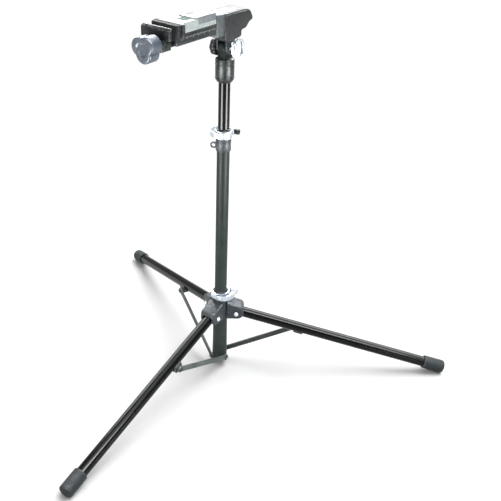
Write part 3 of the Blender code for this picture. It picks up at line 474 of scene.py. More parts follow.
def turned(
    name: str,
    place: Place,
    profile: np.ndarray,
    finish: Finish,
    axis: Along = Along.Z,
    sides: int = FINE,
    shift: tuple[float, float] = (0.0, 0.0),
    swell: np.ndarray | None = None,
) -> bpy.types.Object:
    """A closed profile of (radius, height) turned about an axis.

    A point is (radius x cosine, radius x sine, height) of its turn angle.

    Args:
        name: The piece's name.
        place: The local frame.
        profile: The closed loop of radius and height; radius 0 lies on the axis.
        finish: The piece's finish.
        axis: The axis it is turned about.
        sides: How many steps one turn has.
        shift: Where the axis crosses the other two local directions.
        swell: Factors on the radius for each step of the turn, for a lobed piece.

    Returns:
        The object.
    """
    angle = np.arange(sides) * TAU / sides
    profile = braced(profile)
    factor = np.ones(sides) if swell is None else swell
    radius = profile[:, 0][:, None] * factor[None, :]
    grid = np.stack(
        [
            shift[0] + radius * np.cos(angle),
            shift[1] + radius * np.sin(angle),
            np.repeat(profile[:, 1][:, None], sides, axis=1),
        ],
        axis=2,
    )
    points = to_local(grid.reshape(-1, 3), axis)
    faces = grid_faces(len(profile), sides, True, True)
    solid = (profile[:, 0] < 1e-9) & (np.roll(profile[:, 0], -1) < 1e-9)
    faces = faces[~np.repeat(solid, sides)]
    return make(name, place.out(points), faces.tolist(), finish)


def to_local(points: np.ndarray, axis: Along) -> np.ndarray:
    """Turns (across, up, along) columns into x, y, z for a shape that runs along an axis."""
    return points[:, axis.value]


def slab(
    name: str,
    place: Place,
    outline: np.ndarray,
    low: float,
    high: float,
    finish: Finish,
    rim: float = 0.0008,
    axis: Along = Along.Z,
    steps: int = 3,
) -> bpy.types.Object:
    """An outline carried from low to high, with a quarter-round rim at both ends.

    Ring k of a rim lies rim x (1 - sine) inside the outline and rim x (1 - cosine) from the face.

    Args:
        name: The piece's name.
        place: The local frame.
        outline: Closed outline, anticlockwise or not.
        low: Where it starts along the axis.
        high: Where it ends.
        finish: The piece's finish.
        rim: Radius of the rounded rims.
        axis: The axis it runs along.
        steps: Segments in each rim.

    Returns:
        The object.
    """
    area = np.sum(
        outline[:, 0] * np.roll(outline[:, 1], -1) - np.roll(outline[:, 0], -1) * outline[:, 1]
    )
    outline = outline if area > 0 else outline[::-1]
    keep = np.linalg.norm(outline - np.roll(outline, 1, axis=0), axis=1) > 1e-6
    outline = outline[keep]
    along = np.roll(outline, -1, axis=0) - np.roll(outline, 1, axis=0)
    along /= np.linalg.norm(along, axis=1, keepdims=True)
    inward = np.stack([-along[:, 1], along[:, 0]], axis=1)
    quarter = np.linspace(0, math.pi / 2, steps + 1)
    inset = np.concatenate([rim * (1 - np.sin(quarter)), rim * (1 - np.sin(quarter[::-1]))])
    height = np.concatenate(
        [low + rim * (1 - np.cos(quarter)), high - rim * (1 - np.cos(quarter[::-1]))]
    )
    ring = outline[None] + inward[None] * inset[:, None, None]
    grid = np.concatenate([ring, np.repeat(height[:, None, None], len(outline), axis=1)], axis=2)
    faces = grid_faces(len(inset), len(outline), False, True).tolist()
    last = (len(inset) - 1) * len(outline)
    faces.append(list(range(len(outline)))[::-1])
    faces.append(list(range(last, last + len(outline))))
    return make(name, place.out(to_local(grid.reshape(-1, 3), axis)), faces, finish)


def block(
    name: str,
    place: Place,
    low: tuple[float, float, float],
    high: tuple[float, float, float],
    finish: Finish,
    corner: float = 0.0015,
    rim: float = 0.0008,
) -> bpy.types.Object:
    """A box with rounded upright corners and quarter-round rims."""
    outline = np.array([(low[0], low[1]), (high[0], low[1]), (high[0], high[1]), (low[0], high[1])])
    return slab(name, place, rounded(outline, corner), low[2], high[2], finish, rim)


def blade(
    name: str,
    place: Place,
    path: np.ndarray,
    thickness: np.ndarray,
    half: np.ndarray,
    finish: Finish,
    axis: Along = Along.Z,
    roundness: float = 0.35,
) -> bpy.types.Object:
    """A flat bar carried along a plan path, its section a rounded rectangle.

    A section point is path + sideways x thickness x cosine^p and height x half x sine^p, where
    the power p < 1 squares the ellipse up.

    Args:
        name: The piece's name.
        place: The local frame.
        path: Plan points of the bar's middle.
        thickness: Half the thickness at each path point.
        half: Half the height at each path point.
        finish: The piece's finish.
        axis: The axis that the height lies along.
        roundness: The power p.

    Returns:
        The object.
    """
    along = np.gradient(path, axis=0)
    along /= np.linalg.norm(along, axis=1, keepdims=True)
    side = np.stack([-along[:, 1], along[:, 0]], axis=1)
    angle = np.arange(24) * TAU / 24
    across = np.sign(np.cos(angle)) * np.abs(np.cos(angle)) ** roundness
    rise = np.sign(np.sin(angle)) * np.abs(np.sin(angle)) ** roundness
    plan = path[:, None] + side[:, None] * (thickness[:, None] * across[None])[:, :, None]
    grid = np.concatenate([plan, (half[:, None] * rise[None])[:, :, None]], axis=2)
    faces = grid_faces(len(path), 24, False, True).tolist()
    faces.append(list(range(24))[::-1])
    last = (len(path) - 1) * 24
    faces.append(list(range(last, last + 24)))
    return make(name, place.out(to_local(grid.reshape(-1, 3), axis)), faces, finish)


def spline(knots: np.ndarray, count: int) -> np.ndarray:
    """A smooth curve through knots: Catmull-Rom cubics, evaluated at evenly spaced parameters.

    Args:
        knots: Points that it passes through.
        count: How many points it gets.

    Returns:
        The points of the curve.
    """
    padded = np.concatenate([2 * knots[:1] - knots[1:2], knots, 2 * knots[-1:] - knots[-2:-1]])
    place = np.linspace(0, len(knots) - 1 - 1e-9, count)
    index = place.astype(int)
    t = (place - index)[:, None]
    p0, p1, p2, p3 = (padded[index + k] for k in range(4))
    return 0.5 * (
        2 * p1 + (p2 - p0) * t + (
            2 * p0 - 5 * p1 + 4 * p2 - p3
        ) * t**2 + (3 * p1 - 3 * p2 + p3 - p0) * t**3
    )


def carve(piece: bpy.types.Object, *tools: bpy.types.Object) -> bpy.types.Object:
    """Cuts tools out of a piece for good and removes the tools.

    Args:
        piece: The piece.
        tools: The tools, which are removed.

    Returns:
        The piece.
    """
    for tool in tools:
        modifier = piece.modifiers.new("carve", "BOOLEAN")
        modifier.object = tool
    settle(piece)
    for tool in tools:
        bpy.data.objects.remove(tool)
    return piece


def settle(piece: bpy.types.Object) -> None:
    """Turns a piece's modifiers into its mesh and shades it smooth between sharp edges.

    Args:
        piece: The piece.
    """
    graph = bpy.context.evaluated_depsgraph_get()
    mesh = bpy.data.meshes.new_from_object(piece.evaluated_get(graph))
    piece.modifiers.clear()
    piece.data = mesh
    mesh.shade_smooth()
    mesh.set_sharp_from_angle(angle=math.radians(38))


def refined(node: str, finish: Finish, width: float = 0.0006, segments: int = 3) -> bpy.types.Object:
    """A CAD node's shape with its flat faces whole again and its edges rounded.

    Args:
        node: The CAD node.
        finish: The piece's finish.
        width: Width of the rounded edges.
        segments: Segments across a rounded edge.

    Returns:
        The new piece, which has replaced the node and rides on its body.
    """
    mesh = frame["nodes"][node].data.copy()
    work = bmesh.new()
    work.from_mesh(mesh)
    bmesh.ops.remove_doubles(work, verts=work.verts, dist=2e-6)
    bmesh.ops.dissolve_limit(
        work, angle_limit=math.radians(1.0), verts=work.verts, edges=work.edges
    )
    work.to_mesh(mesh)
    work.free()
    mesh.materials.clear()
    mesh.materials.append(finish.material())
    piece = bpy.data.objects.new(f"fine_{node}", mesh)
    bpy.context.collection.objects.link(piece)
    bevel = piece.modifiers.new("edges", "BEVEL")
    bevel.width = width
    bevel.segments = segments
    bevel.limit_method = "ANGLE"
    bevel.angle_limit = math.radians(32)
    settle(piece)
    return fit(piece, node)


# ---------------------------------------------------------------- the frame


RECORD = frame["record"]
JOINTS = {joint["name"]: joint for joint in RECORD["behaviour"]["joints"]}
BODIES = {node: body for body, nodes in RECORD["behaviour"]["bodies"].items() for node in nodes}


def fit(piece: bpy.types.Object, node: str, shown: bool = False) -> bpy.types.Object:
    """Lets a piece ride on a node's body; unless shown, it replaces the node.

    Args:
        piece: The piece.
        node: The CAD node.
        shown: Whether the node stays in sight.

    Returns:
        The piece.
    """
    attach(piece, BODIES[node])
    if not shown:
        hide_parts(node)
    return piece


def axis_of(joint: str) -> np.ndarray:
    """A joint's axis as a unit vector."""
    axis = np.array(JOINTS[joint]["axis"], float)
    return axis / np.linalg.norm(axis)


def point_of(joint: str) -> np.ndarray:
    """A point on a hinge's axis."""
    return np.array(JOINTS[joint]["pos_m"], float)


def middle_of(node: str) -> np.ndarray:
    """The middle of a node's box."""
    low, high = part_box(node)
    return (np.array(low) + np.array(high)) / 2


def heights(node: str) -> tuple[float, float]:
    """A node's lowest and highest z."""
    low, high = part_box(node)
    return float(low[2]), float(high[2])


UP = np.array([0.0, 0.0, 1.0])
COLUMN = Place(np.array([*middle_of("lower_column")[:2], 0.0]))


def report(name: str, pieces: list[bpy.types.Object]) -> None:
    """Logs what a sub-assembly holds."""
    LOG.info("%s: %s", name, ", ".join(piece.name for piece in pieces))


def shape(piece: bpy.types.Object, how: str, *tools: bpy.types.Object) -> bpy.types.Object:
    """Joins tools to a piece or keeps what both hold, for good, and removes the tools.

    Args:
        piece: The piece.
        how: UNION or INTERSECT.
        tools: The tools, which are removed.

    Returns:
        The piece.
    """
    for tool in tools:
        modifier = piece.modifiers.new("shape", "BOOLEAN")
        modifier.operation = how
        modifier.object = tool
    settle(piece)
    for tool in tools:
        bpy.data.objects.remove(tool)
    return piece


def extra(piece: bpy.types.Object, node: str) -> bpy.types.Object:
    """A piece that is added to a node's body, with the node kept in sight."""
    return fit(piece, node, shown=True)


def facing(origin: np.ndarray, sideways: np.ndarray, rise: float = 0.0) -> Place:
    """A frame whose y is the sideways axis and whose x points out, raised by an angle in radians.

    Out is sideways x up, x is out x cosine + up x sine of the rise, and z is x x y.

    Args:
        origin: Where the frame stands.
        sideways: The direction of its y axis.
        rise: How far its x axis points up, in radians.

    Returns:
        The frame.
    """
    out = np.cross(sideways, UP)
    x = out * math.cos(rise) + UP * math.sin(rise)
    return Place(origin, np.stack([x, sideways, np.cross(x, sideways)]))


# ---------------------------------------------------------------- base


@dataclass
class Column:
    """The lower column with its sleeve, end plug and the bolts of the struts."""

    radius: float = 0.0175
    wall: float = 0.0015
    sleeve_low: float = 0.0218
    sleeve_top: float = 0.0206
    seam_angle: float = -32.0
    seam_depth: float = 0.0007
    pin: float = 0.003
    pin_head: float = 0.0072
    pin_head_t: float = 0.0034

    def build(self) -> list[bpy.types.Object]:
        """Builds and dresses the column.

        Returns:
            Its pieces.
        """
        return [self.tube(), self.sleeve(), self.plug(), *self.bolts()]

    def tube(self) -> bpy.types.Object:
        """The round tube, its ends chamfered.

        Returns:
            The piece.
        """
        low, high = heights("lower_column")
        inner = self.radius - self.wall
        loop = np.array([(inner, low), (self.radius, low), (self.radius, high), (inner, high)])
        piece = turned("fine_lower_column", COLUMN, rounded(loop, 0.0005, 2), GREY_TUBE)
        return fit(piece, "lower_column")

    def sleeve(self) -> bpy.types.Object:
        """The tapering sleeve, with a fine seam down one side of it.

        The radius of the turn is scaled by 1 less a narrow bell curve at the seam's angle.

        Returns:
            The piece.
        """
        low, high = heights("base_sleeve")
        bore = self.radius + 0.0003
        loop = np.array([(bore, low), (self.sleeve_low, low), (self.sleeve_top, high), (bore, high)])
        sides = 4 * FINE
        angle = np.arange(sides) * 360 / sides
        away = (angle - self.seam_angle + 180) % 360 - 180
        dip = self.seam_depth / self.sleeve_low * np.exp(-((away / 1.3) ** 2))
        piece = turned(
            "fine_base_sleeve", COLUMN, rounded(loop, 0.0009), GREY_TUBE, sides=sides, swell=1 - dip
        )
        return fit(piece, "base_sleeve")

    def plug(self) -> bpy.types.Object:
        """The end plug: a dished cap under the sleeve with a rounded rim.

        Returns:
            The piece.
        """
        low, _ = heights("base_end_plug")
        top, _ = heights("base_sleeve")
        top -= 0.0003
        edge = self.sleeve_low - 0.0008
        loop = np.array(
            [(0, low + 0.001), (0.009, low + 0.001), (0.011, low), (self.radius - 0.0008, low),
             (edge, (low + top) / 2), (edge, top), (0, top)]
        )
        reach = np.array([0, 0.001, 0.001, 0.001, 0.0015, 0.0006, 0])
        return fit(
            turned("fine_base_end_plug", COLUMN, rounded(loop, reach), BLACK_PLASTIC), "base_end_plug"
        )

    def bolts(self) -> list[bpy.types.Object]:
        """The three bolts at the struts' feet: dark ring heads with a pale cap.

        Returns:
            The bolts.
        """
        made = []
        for leg in LEGS:
            node = f"strut_inner_bolt_{leg}"
            joint = f"strut_{leg}_hinge"
            local = facing(point_of(joint), -axis_of(joint))
            shoulder = reach_along(node, local, 1)[1] - self.pin_head_t
            start = reach_along(node, local, 1)[0]
            made.append(
                fit(
                    bolt(
                        node, local, start, shoulder, self.pin, self.pin_head, self.pin_head_t, BOLT_DARK
                    ),
                    node,
                )
            )
            cap = np.array(
                [(0, shoulder), (0.0034, shoulder), (0.0034, shoulder + 0.0033), (0, shoulder + 0.00335)]
            )
            trim = turned(
                f"cap_{node}", local, rounded(cap, np.array([0, 0, 0.0006, 0])), BRIGHT, Along.Y, SMALL
            )
            made.append(extra(trim, node))
        return made


def reach_along(node: str, local: Place, axis: int) -> tuple[float, float]:
    """How far a node's vertices reach along one local axis, from the local origin.

    Args:
        node: The CAD node.
        local: The local frame.
        axis: The number of the local axis.

    Returns:
        The lowest and the highest reach.
    """
    mesh = frame["nodes"][node].data
    points = np.empty(len(mesh.vertices) * 3, np.float32)
    mesh.vertices.foreach_get("co", points)
    spread = (points.reshape(-1, 3) - local.origin) @ local.axes[axis]
    return float(spread.min()), float(spread.max())


def bolt(
    node: str,
    local: Place,
    start: float,
    shoulder: float,
    shank: float,
    head: float,
    thick: float,
    finish: Finish,
) -> bpy.types.Object:
    """A bolt along local y: a shank from start to its shoulder, then a domed head with a socket.

    The head's profile is a cylinder whose top corner is a quadratic curve; its middle is dished.

    Args:
        node: The CAD node.
        local: The local frame.
        start: Where the shank begins.
        shoulder: Where the head begins.
        shank: The shank's radius.
        head: The head's radius.
        thick: The head's thickness.
        finish: The finish.

    Returns:
        The bolt.
    """
    crown = shoulder + thick
    loop = np.array(
        [
            (0, start), (shank, start), (shank, shoulder), (head, shoulder),
            (head, shoulder + 0.45 * thick),
            (head * 0.72, crown), (head * 0.45, crown),
            (head * 0.36, crown - 0.0008), (0, crown - 0.0008),
        ]
    )
    reach = np.array([0, 0.0004, 0, 0.0004, 0.0012, 0.0008, 0.0003, 0.0003, 0])
    return turned(f"fine_{node}", local, rounded(loop, reach), finish, Along.Y, SMALL)


@dataclass
class Strut:
    """A flat strut between the column's foot and a leg."""

    number: int
    rise: float = math.radians(23.5937)
    half: float = 0.0075
    eye: float = 0.0095
    pin: float = 0.003
    pin_head: float = 0.0072
    pin_head_t: float = 0.0034

    def build(self) -> list[bpy.types.Object]:
        """Builds and dresses the strut and its outer bolt.

        Returns:
            Its pieces.
        """
        joint = f"strut_{self.number}_hinge"
        local = facing(point_of(joint), -axis_of(joint), self.rise)
        bar, nail = f"strut_bar_{self.number}", f"strut_outer_bolt_{self.number}"
        inner, outer = reach_along(bar, local, 1)
        length = reach_along(bar, local, 0)[1] - self.eye
        spread = math.degrees(math.asin(self.half / self.eye))
        outline = np.concatenate(
            [
                arc(0, 0, self.eye, spread, 360 - spread, 40),
                arc(length, 0, self.eye, spread - 180, 180 - spread, 40),
            ]
        )
        flat = slab(
            f"fine_{bar}",
            local,
            outline,
            inner,
            outer,
            # Strut 1 gets the lit copy and the others the shaded copy: painted light and shade.
            STRUT_LIT if self.number == 1 else STRUT_SHADED,
            0.0008,
            Along.Y,
        )
        end = Place(local.out(np.array([[length, 0, 0]]))[0], local.axes)
        crown = reach_along(nail, end, 1)[1]
        head = bolt(
            nail,
            end,
            inner,
            crown - self.pin_head_t,
            self.pin,
            self.pin_head,
            self.pin_head_t,
            BOLT_DARK,
        )
        return [fit(flat, bar), fit(head, nail)]


@dataclass
class Leg:
    """A leg: its tube, tail insert, foot and the bracket of its strut."""

    number: int
    slope: float = math.radians(15.2)
    length: float = 0.653
    tube: float = 0.0153
    wall: float = 0.0015
    tail: float = 0.009
    foot: float = 0.0195
    foot_length: float = 0.0645
    foot_round: float = 0.008
    ring: float = 0.0006
    mark_proud: float = 0.00012
    mark_sunk: float = 0.0004

    def local(self) -> Place:
        """The leg's frame: x out along the leg, y along its hinge."""
        joint = f"leg_{self.number}_hinge"
        return facing(point_of(joint), axis_of(joint), -self.slope)

    def build(self) -> list[bpy.types.Object]:
        """Builds and dresses the leg.

        Returns:
            Its pieces.
        """
        made = [self.bar(), self.insert(), self.shoe(), self.bracket()]
        if self.number == 2:
            made += self.marks()
        return made

    def bar(self) -> bpy.types.Object:
        """The round tube, its ends chamfered.

        Returns:
            The piece.
        """
        node = f"leg_tube_{self.number}"
        local = self.local()
        low, high = reach_along(node, local, 0)
        inner = self.tube - self.wall
        loop = np.array([(inner, low), (self.tube, low), (self.tube, high), (inner, high)])
        return fit(turned(f"fine_{node}", local, rounded(loop, 0.0005, 2), BLACK_TUBE, Along.X), node)

    def insert(self) -> bpy.types.Object:
        """The rounded plug in the tube's upper end.

        Returns:
            The piece.
        """
        node = f"leg_insert_{self.number}"
        local = self.local()
        low, high = reach_along(node, local, 0)
        seat, inner = -self.tail - 0.0003, self.tube - self.wall - 0.0003
        loop = np.array(
            [
                (0, low),
                (self.tube - 0.002, low),
                (self.tube, seat - 0.0006),
                (self.tube, seat),
                (inner, seat),
                (inner, high),
                (0, high),
            ]
        )
        reach = np.array([0, 0.0016, 0.0012, 0, 0, 0.001, 0])
        return fit(turned(f"fine_{node}", local, rounded(loop, reach), BLACK_PLASTIC, Along.X), node)

    def shoe(self) -> bpy.types.Object:
        """The rubber foot: a rounded cap with a rolled mouth and moulded rings.

        It is turned about the leg's axis, and what would dip below the floor lies flat on it.

        Returns:
            The piece.
        """
        node = f"leg_foot_{self.number}"
        local = self.local()
        mouth, bore, end = self.length - self.foot_length, self.tube + 0.0003, self.length
        rings = []
        for at in (0.006, 0.011, 0.038, 0.043):
            x = mouth + at
            rings += [
                (self.foot, x - 0.0012),
                (self.foot - self.ring, x - 0.0006),
                (self.foot - self.ring, x + 0.0006),
                (self.foot, x + 0.0012),
            ]
        nose = arc(
            end - self.foot_round, self.foot - self.foot_round, self.foot_round, 90, 0, 10
        )[:, ::-1]
        dish = [
            (0.006, end), (0.005, end - 0.001), (0, end - 0.001), (0, end - 0.006), (bore, end - 0.006)
        ]
        loop = np.concatenate(
            [
                np.array(
                    [(bore, mouth), (self.foot - 0.001, mouth), (self.foot, mouth + 0.001), *rings]
                ),
                nose,
                np.array(dish),
            ]
        )
        piece = turned(f"fine_{node}", local, loop, FOOT_RUBBER, Along.X)
        mesh = piece.data
        points = np.empty(len(mesh.vertices) * 3, np.float32)
        mesh.vertices.foreach_get("co", points)
        points[2::3] = np.maximum(points[2::3], 0.0)
        mesh.vertices.foreach_set("co", points)
        mesh.update()
        return fit(piece, node)

    def bracket(self) -> bpy.types.Object:
        """The saddle that carries the strut's outer pivot."""
        return refined(f"leg_bracket_{self.number}", BRACKET_DARK, 0.0005)

    def marks(self) -> list[bpy.types.Object]:
        """A plain striped mark along the underside of the leg: pale bars and a yellow block.

        Each mark is a patch of a cylinder just outside the tube: its length times its turn angle.

        Returns:
            The marks.
        """
        node = f"leg_tube_{self.number}"
        made = []
        for count, (low, high, finish) in enumerate(LEG_MARKS):
            made.append(extra(self.patch(f"leg_mark_{count + 1}", low, high, finish), node))
        return made

    def patch(self, name: str, low: float, high: float, finish: Finish) -> bpy.types.Object:
        """A thin curved plate on the tube, from low to high along it.

        Args:
            name: The piece's name.
            low: The low end.
            high: The high end.
            finish: The finish.

        Returns:
            The piece.
        """
        angle = np.radians(np.linspace(*MARK_TURNS, MARK_STEPS))
        proud, sunk = self.tube + self.mark_proud, self.tube - self.mark_sunk
        shell = np.repeat([proud, sunk], MARK_STEPS)
        turn = np.concatenate([angle, angle[::-1]])
        ring = np.stack([shell * np.cos(turn), shell * np.sin(turn)], axis=1)
        return slab(name, self.local(), ring, low, high, finish, 0.00005, Along.X, 1)


# ---------------------------------------------------------------- clamps


@dataclass
class QuickRelease:
    """A split band with ears, a skewer, its nut and a cam lever round the front.

    The clamp's frame has x along the skewer and y towards the ears; side is the cam's end.
    """

    name: str
    side: int
    finish: Finish
    turn: float = math.radians(-25.0)
    lever_t: float = 0.0030
    cam: float = 0.0062
    rest: float = 0.0010
    sweep: float = 0.011

    def build(self) -> list[bpy.types.Object]:
        """Builds and dresses the clamp.

        Returns:
            Its pieces.
        """
        return [self.band(), self.skewer(), self.nut(), *self.lever()]

    def local(self) -> Place:
        """The clamp's frame, at the middle of its band's height.

        Returns:
            The clamp's frame.
        """
        low, high = heights(f"{self.name}_band")
        x = np.array([math.cos(self.turn), math.sin(self.turn), 0.0])
        at = COLUMN.origin + UP * (low + high) / 2
        return Place(at, np.stack([x, np.cross(UP, x), UP]))

    def band(self) -> bpy.types.Object:
        """The split band with its ears, edges rounded."""
        return refined(f"{self.name}_band", BRIGHT, 0.0006)

    def skewer(self) -> bpy.types.Object:
        """The bolt that draws the ears together."""
        return refined(f"{self.name}_skewer", BOLT_STEEL, 0.0004)

    def nut(self) -> bpy.types.Object:
        """The round nut: fluted sides, a rounded outer end and a dimple.

        The flutes scale the turn's radius by 1 less a raised cosine.

        Returns:
            The piece.
        """
        node = f"{self.name}_nut"
        local = self.local()
        low, high = reach_along(node, local, 0)
        half = reach_along(node, local, 2)[1]
        inner, outer = (low, high) if self.side < 0 else (high, low)
        dip = 0.0015 * math.copysign(1, inner - outer)
        loop = np.array(
            [
                (0.0029, inner),
                (half, inner),
                (half, outer),
                (0.004, outer),
                (0.003, outer + dip),
                (0.0029, outer + dip),
            ]
        )
        reach = np.array([0, 0.0005, 0.0025, 0.0005, 0, 0])
        angle = np.arange(FINE) * TAU / FINE
        middle = self.pivot()[1]
        flutes = 1 - 0.03 * (0.5 - 0.5 * np.cos(12 * angle))
        at = Place(local.out(np.array([[0, middle, 0]]))[0], local.axes)
        return fit(
            turned(f"fine_{node}", at, rounded(loop, reach), BLACK_PLASTIC, Along.X, FINE, swell=flutes),
            node,
        )

    def pivot(self) -> np.ndarray:
        """The lever's pivot in the clamp's frame."""
        local = self.local()
        return local.axes @ (point_of(f"{self.name}_lever_hinge") - local.origin)

    def lever(self) -> list[bpy.types.Object]:
        """The cam and the curved blade of the lever.

        The blade's middle is a spiral about the column: its radius shrinks from wide to close as
        the angle goes round the front, and its thickness and height taper to a rounded tip.

        Returns:
            Its pieces.
        """
        node = f"{self.name}_lever"
        local = self.local()
        pivot = self.pivot()
        band = reach_along(f"{self.name}_band", local, 1)[0]
        hug = -band + self.lever_t / 2 + self.rest
        wide = hug + self.sweep
        low, high = reach_along(node, local, 2)
        share = np.linspace(0.0, 12 / 14, 90)
        angle = np.radians(18 - 178 * share if self.side > 0 else 162 + 178 * share)
        radius = wide + (hug - wide) * np.minimum(1, share * 1.5) ** 1.3
        spiral = np.stack([radius * np.cos(angle), radius * np.sin(angle)], axis=1)
        start = np.array([[pivot[0] + self.side * self.cam * 0.3, pivot[1]]])
        path = spline(np.concatenate([start, spiral[::6], spiral[-1:]]), 120)
        t = np.linspace(0, 1, len(path))
        tip = np.sqrt(np.clip(1 - ((t - 0.93) / 0.07).clip(0, 1) ** 2, 0.02, 1))
        thick = self.lever_t / 2 * (1 - 0.15 * t) * tip.clip(0.5)
        tall = high * (0.80 + 0.20 * np.sin(np.pi * np.minimum(1, t * 1.4) ** 0.8)) * tip
        blade_piece = blade(f"blade_{node}", local, path, thick, tall, self.finish)
        at = Place(local.out(np.array([[*pivot[:2], 0]]))[0], local.axes)
        loop = np.array([(0, low), (self.cam, low), (self.cam, high), (0, high)])
        knuckle = turned(
            f"fine_{node}", at, rounded(loop, np.array([0, 0.0015, 0.0015, 0])), self.finish, sides=SMALL
        )
        return [fit(knuckle, node), extra(blade_piece, node)]


@dataclass
class Hub:
    """The sliding hub that carries the legs."""

    bore: float = 0.0199
    radius: float = 0.0252
    shoulder: float = 0.23351
    neck: float = 0.0224
    low: float = 0.16531
    top: float = 0.25431
    pivot_out: float = 0.048
    arm_half: float = 0.024
    arm_floor: float = 0.0185
    nose: float = 0.022
    crown: float = 0.0265
    root: float = 0.0365
    slot_half: float = 0.0159
    swing: float = 0.02023
    slope: float = math.radians(15.2)
    leg: float = 0.0153
    hood: float = 0.0010
    slit: float = 0.002
    bolt_head: float = 0.0065
    bolt_head_t: float = 0.0042
    bolt_shank: float = 0.004
    rim: float = 0.0212

    def build(self) -> list[bpy.types.Object]:
        """Builds and dresses the hub.

        Returns:
            Its pieces.
        """
        made = [self.casting(), self.bush(), *self.bolts()]
        return made + QuickRelease("hub", 1, BRIGHT).build()

    def arm(self, leg: int) -> Place:
        """The frame of an arm: on the column's axis at the pivot's height, x outward."""
        joint = f"leg_{leg}_hinge"
        return facing(COLUMN.origin + UP * point_of(joint)[2], axis_of(joint))

    def casting(self) -> bpy.types.Object:
        """The casting: a turned barrel with three soft arms, their leg slots and the bore.

        An arm is its side outline carried across with a wide quarter-round rim.

        Returns:
            The piece.
        """
        loop = np.array(
            [
                (0, self.low),
                (self.radius, self.low),
                (self.radius, self.shoulder),
                (self.neck, self.shoulder),
                (self.neck, self.top),
                (0, self.top),
            ]
        )
        reach = np.array([0, 0.0015, 0.002, 0.0006, 0.0006, 0])
        body = turned("fine_hub_casting", COLUMN, rounded(loop, reach), CASTING)
        out, nose = self.pivot_out, self.nose
        side = np.array(
            [
                (self.bore, -self.arm_floor), (out + 0.45 * nose, -self.arm_floor),
                (out + 0.95 * nose, -0.45 * self.arm_floor),
                (out + nose, 0.3 * self.crown), (out + 0.80 * nose, 0.82 * self.crown),
                (out + 0.2 * nose, self.crown), (self.bore, self.root),
            ]
        )
        reach = np.array([0, 0.008, 0.009, 0.009, 0.008, 0.008, 0])
        arms, tools = [], []
        for leg in LEGS:
            local = self.arm(leg)
            arms.append(
                slab(
                    f"arm_{leg}",
                    local,
                    rounded(side, reach, 6),
                    -self.arm_half,
                    self.arm_half,
                    CASTING,
                    0.0055,
                    Along.Y,
                    6,
                )
            )
            tools.append(self.slot(leg))
        shape(body, "UNION", *arms)
        hole = np.array([(0, 0), (self.bore, 0), (self.bore, 1), (0, 1)])
        tools.append(turned("bore", COLUMN, hole, CASTING))
        turn = QuickRelease("hub", 1, BRIGHT).local()
        lift = self.shoulder + 0.0003 - turn.origin[2] - 0.001
        tools.append(
            block("slit", turn, (-self.slit, 0, lift), (self.slit, 0.1, 0.1), CASTING, 0.0001, 0.0001)
        )
        return fit(carve(body, *tools), "hub_casting")

    def slot(self, leg: int) -> bpy.types.Object:
        """The room of a leg in its arm: a flat roof that slopes with the leg, rounded over its tail.

        The side outline is an arc of the tail's swing about the pivot, then a line parallel to
        the leg; carried across, its upper rim is a wide quarter round, so the mouth is an arch.

        Args:
            leg: The leg's number.

        Returns:
            The piece.
        """
        out, far = self.pivot_out, self.pivot_out + 2 * self.nose
        edge = (self.leg + self.hood) / math.cos(self.slope) - 2 * self.nose * math.tan(self.slope)
        floor = -2 * self.arm_floor
        side = np.concatenate(
            [
                [(out - self.swing, floor)],
                arc(out, 0, self.swing, 180, 40, 24),
                [(far, edge), (far, floor)],
            ]
        )
        return slab(
            f"slot_{leg}",
            self.arm(leg),
            side,
            -self.slot_half,
            self.slot_half,
            CASTING,
            0.007,
            Along.Y,
            6,
        )

    def bush(self) -> bpy.types.Object:
        """The black bush, with its rolled rim on top of the casting.

        Returns:
            The piece.
        """
        low, high = heights("hub_bush")
        inner, outer, seat = 0.0178, 0.0196, self.top + 0.0003
        loop = np.array(
            [
                (inner, low),
                (outer, low),
                (outer, seat),
                (self.rim, seat),
                (self.rim, (seat + high) / 2),
                (outer, high),
                (inner, high),
            ]
        )
        reach = np.array([0, 0, 0, 0.0004, 0.0012, 0.0012, 0.0006])
        return fit(turned("fine_hub_bush", COLUMN, rounded(loop, reach), BLACK_PLASTIC), "hub_bush")

    def bolts(self) -> list[bpy.types.Object]:
        """The legs' pivot bolts: bright domed heads with a socket at both sides of an arm.

        Returns:
            The bolts.
        """
        made = []
        for leg in LEGS:
            node = f"hub_bolt_{leg}"
            local = self.arm(leg)
            at = Place(local.out(np.array([[self.pivot_out, 0, 0]]))[0], local.axes)
            crown = reach_along(node, at, 1)[1]
            face, head, shank = crown - self.bolt_head_t, self.bolt_head, self.bolt_shank
            half = np.array(
                [
                    (shank, face), (head, face), (head, face + 0.5 * self.bolt_head_t),
                    (head * 0.75, crown),
                    (head * 0.42, crown), (head * 0.36, crown - 0.0012), (0, crown - 0.0012),
                ]
            )
            reach = np.array([0, 0.0004, 0.0016, 0.001, 0.0003, 0.0003, 0])
            one = rounded(half, reach)
            loop = np.concatenate([one, one[::-1] * (1, -1)])
            made.append(fit(turned(f"fine_{node}", at, loop, BOLT_STEEL, Along.Y, SMALL), node))
        return made


@dataclass
class Collar:
    """The collar on top of the column that holds the mast."""

    bush_inner: float = 0.0157
    bush_outer: float = 0.0199

    def build(self) -> list[bpy.types.Object]:
        """Builds and dresses the collar.

        Returns:
            Its pieces.
        """
        body = refined("collar_body", CASTING, 0.0007)
        low, high = heights("collar_bush")
        loop = np.array(
            [
                (self.bush_inner, low),
                (self.bush_outer, low),
                (self.bush_outer, (low + high) / 2),
                (self.bush_inner + 0.001, high),
                (self.bush_inner, high),
            ]
        )
        reach = np.array([0, 0.0004, 0.0014, 0.0006, 0.0003])
        bush = fit(
            turned("fine_collar_bush", COLUMN, rounded(loop, reach), BLACK_PLASTIC), "collar_bush"
        )
        return [body, bush] + QuickRelease("collar", -1, BRIGHT).build()


# ---------------------------------------------------------------- mast and tilt joint


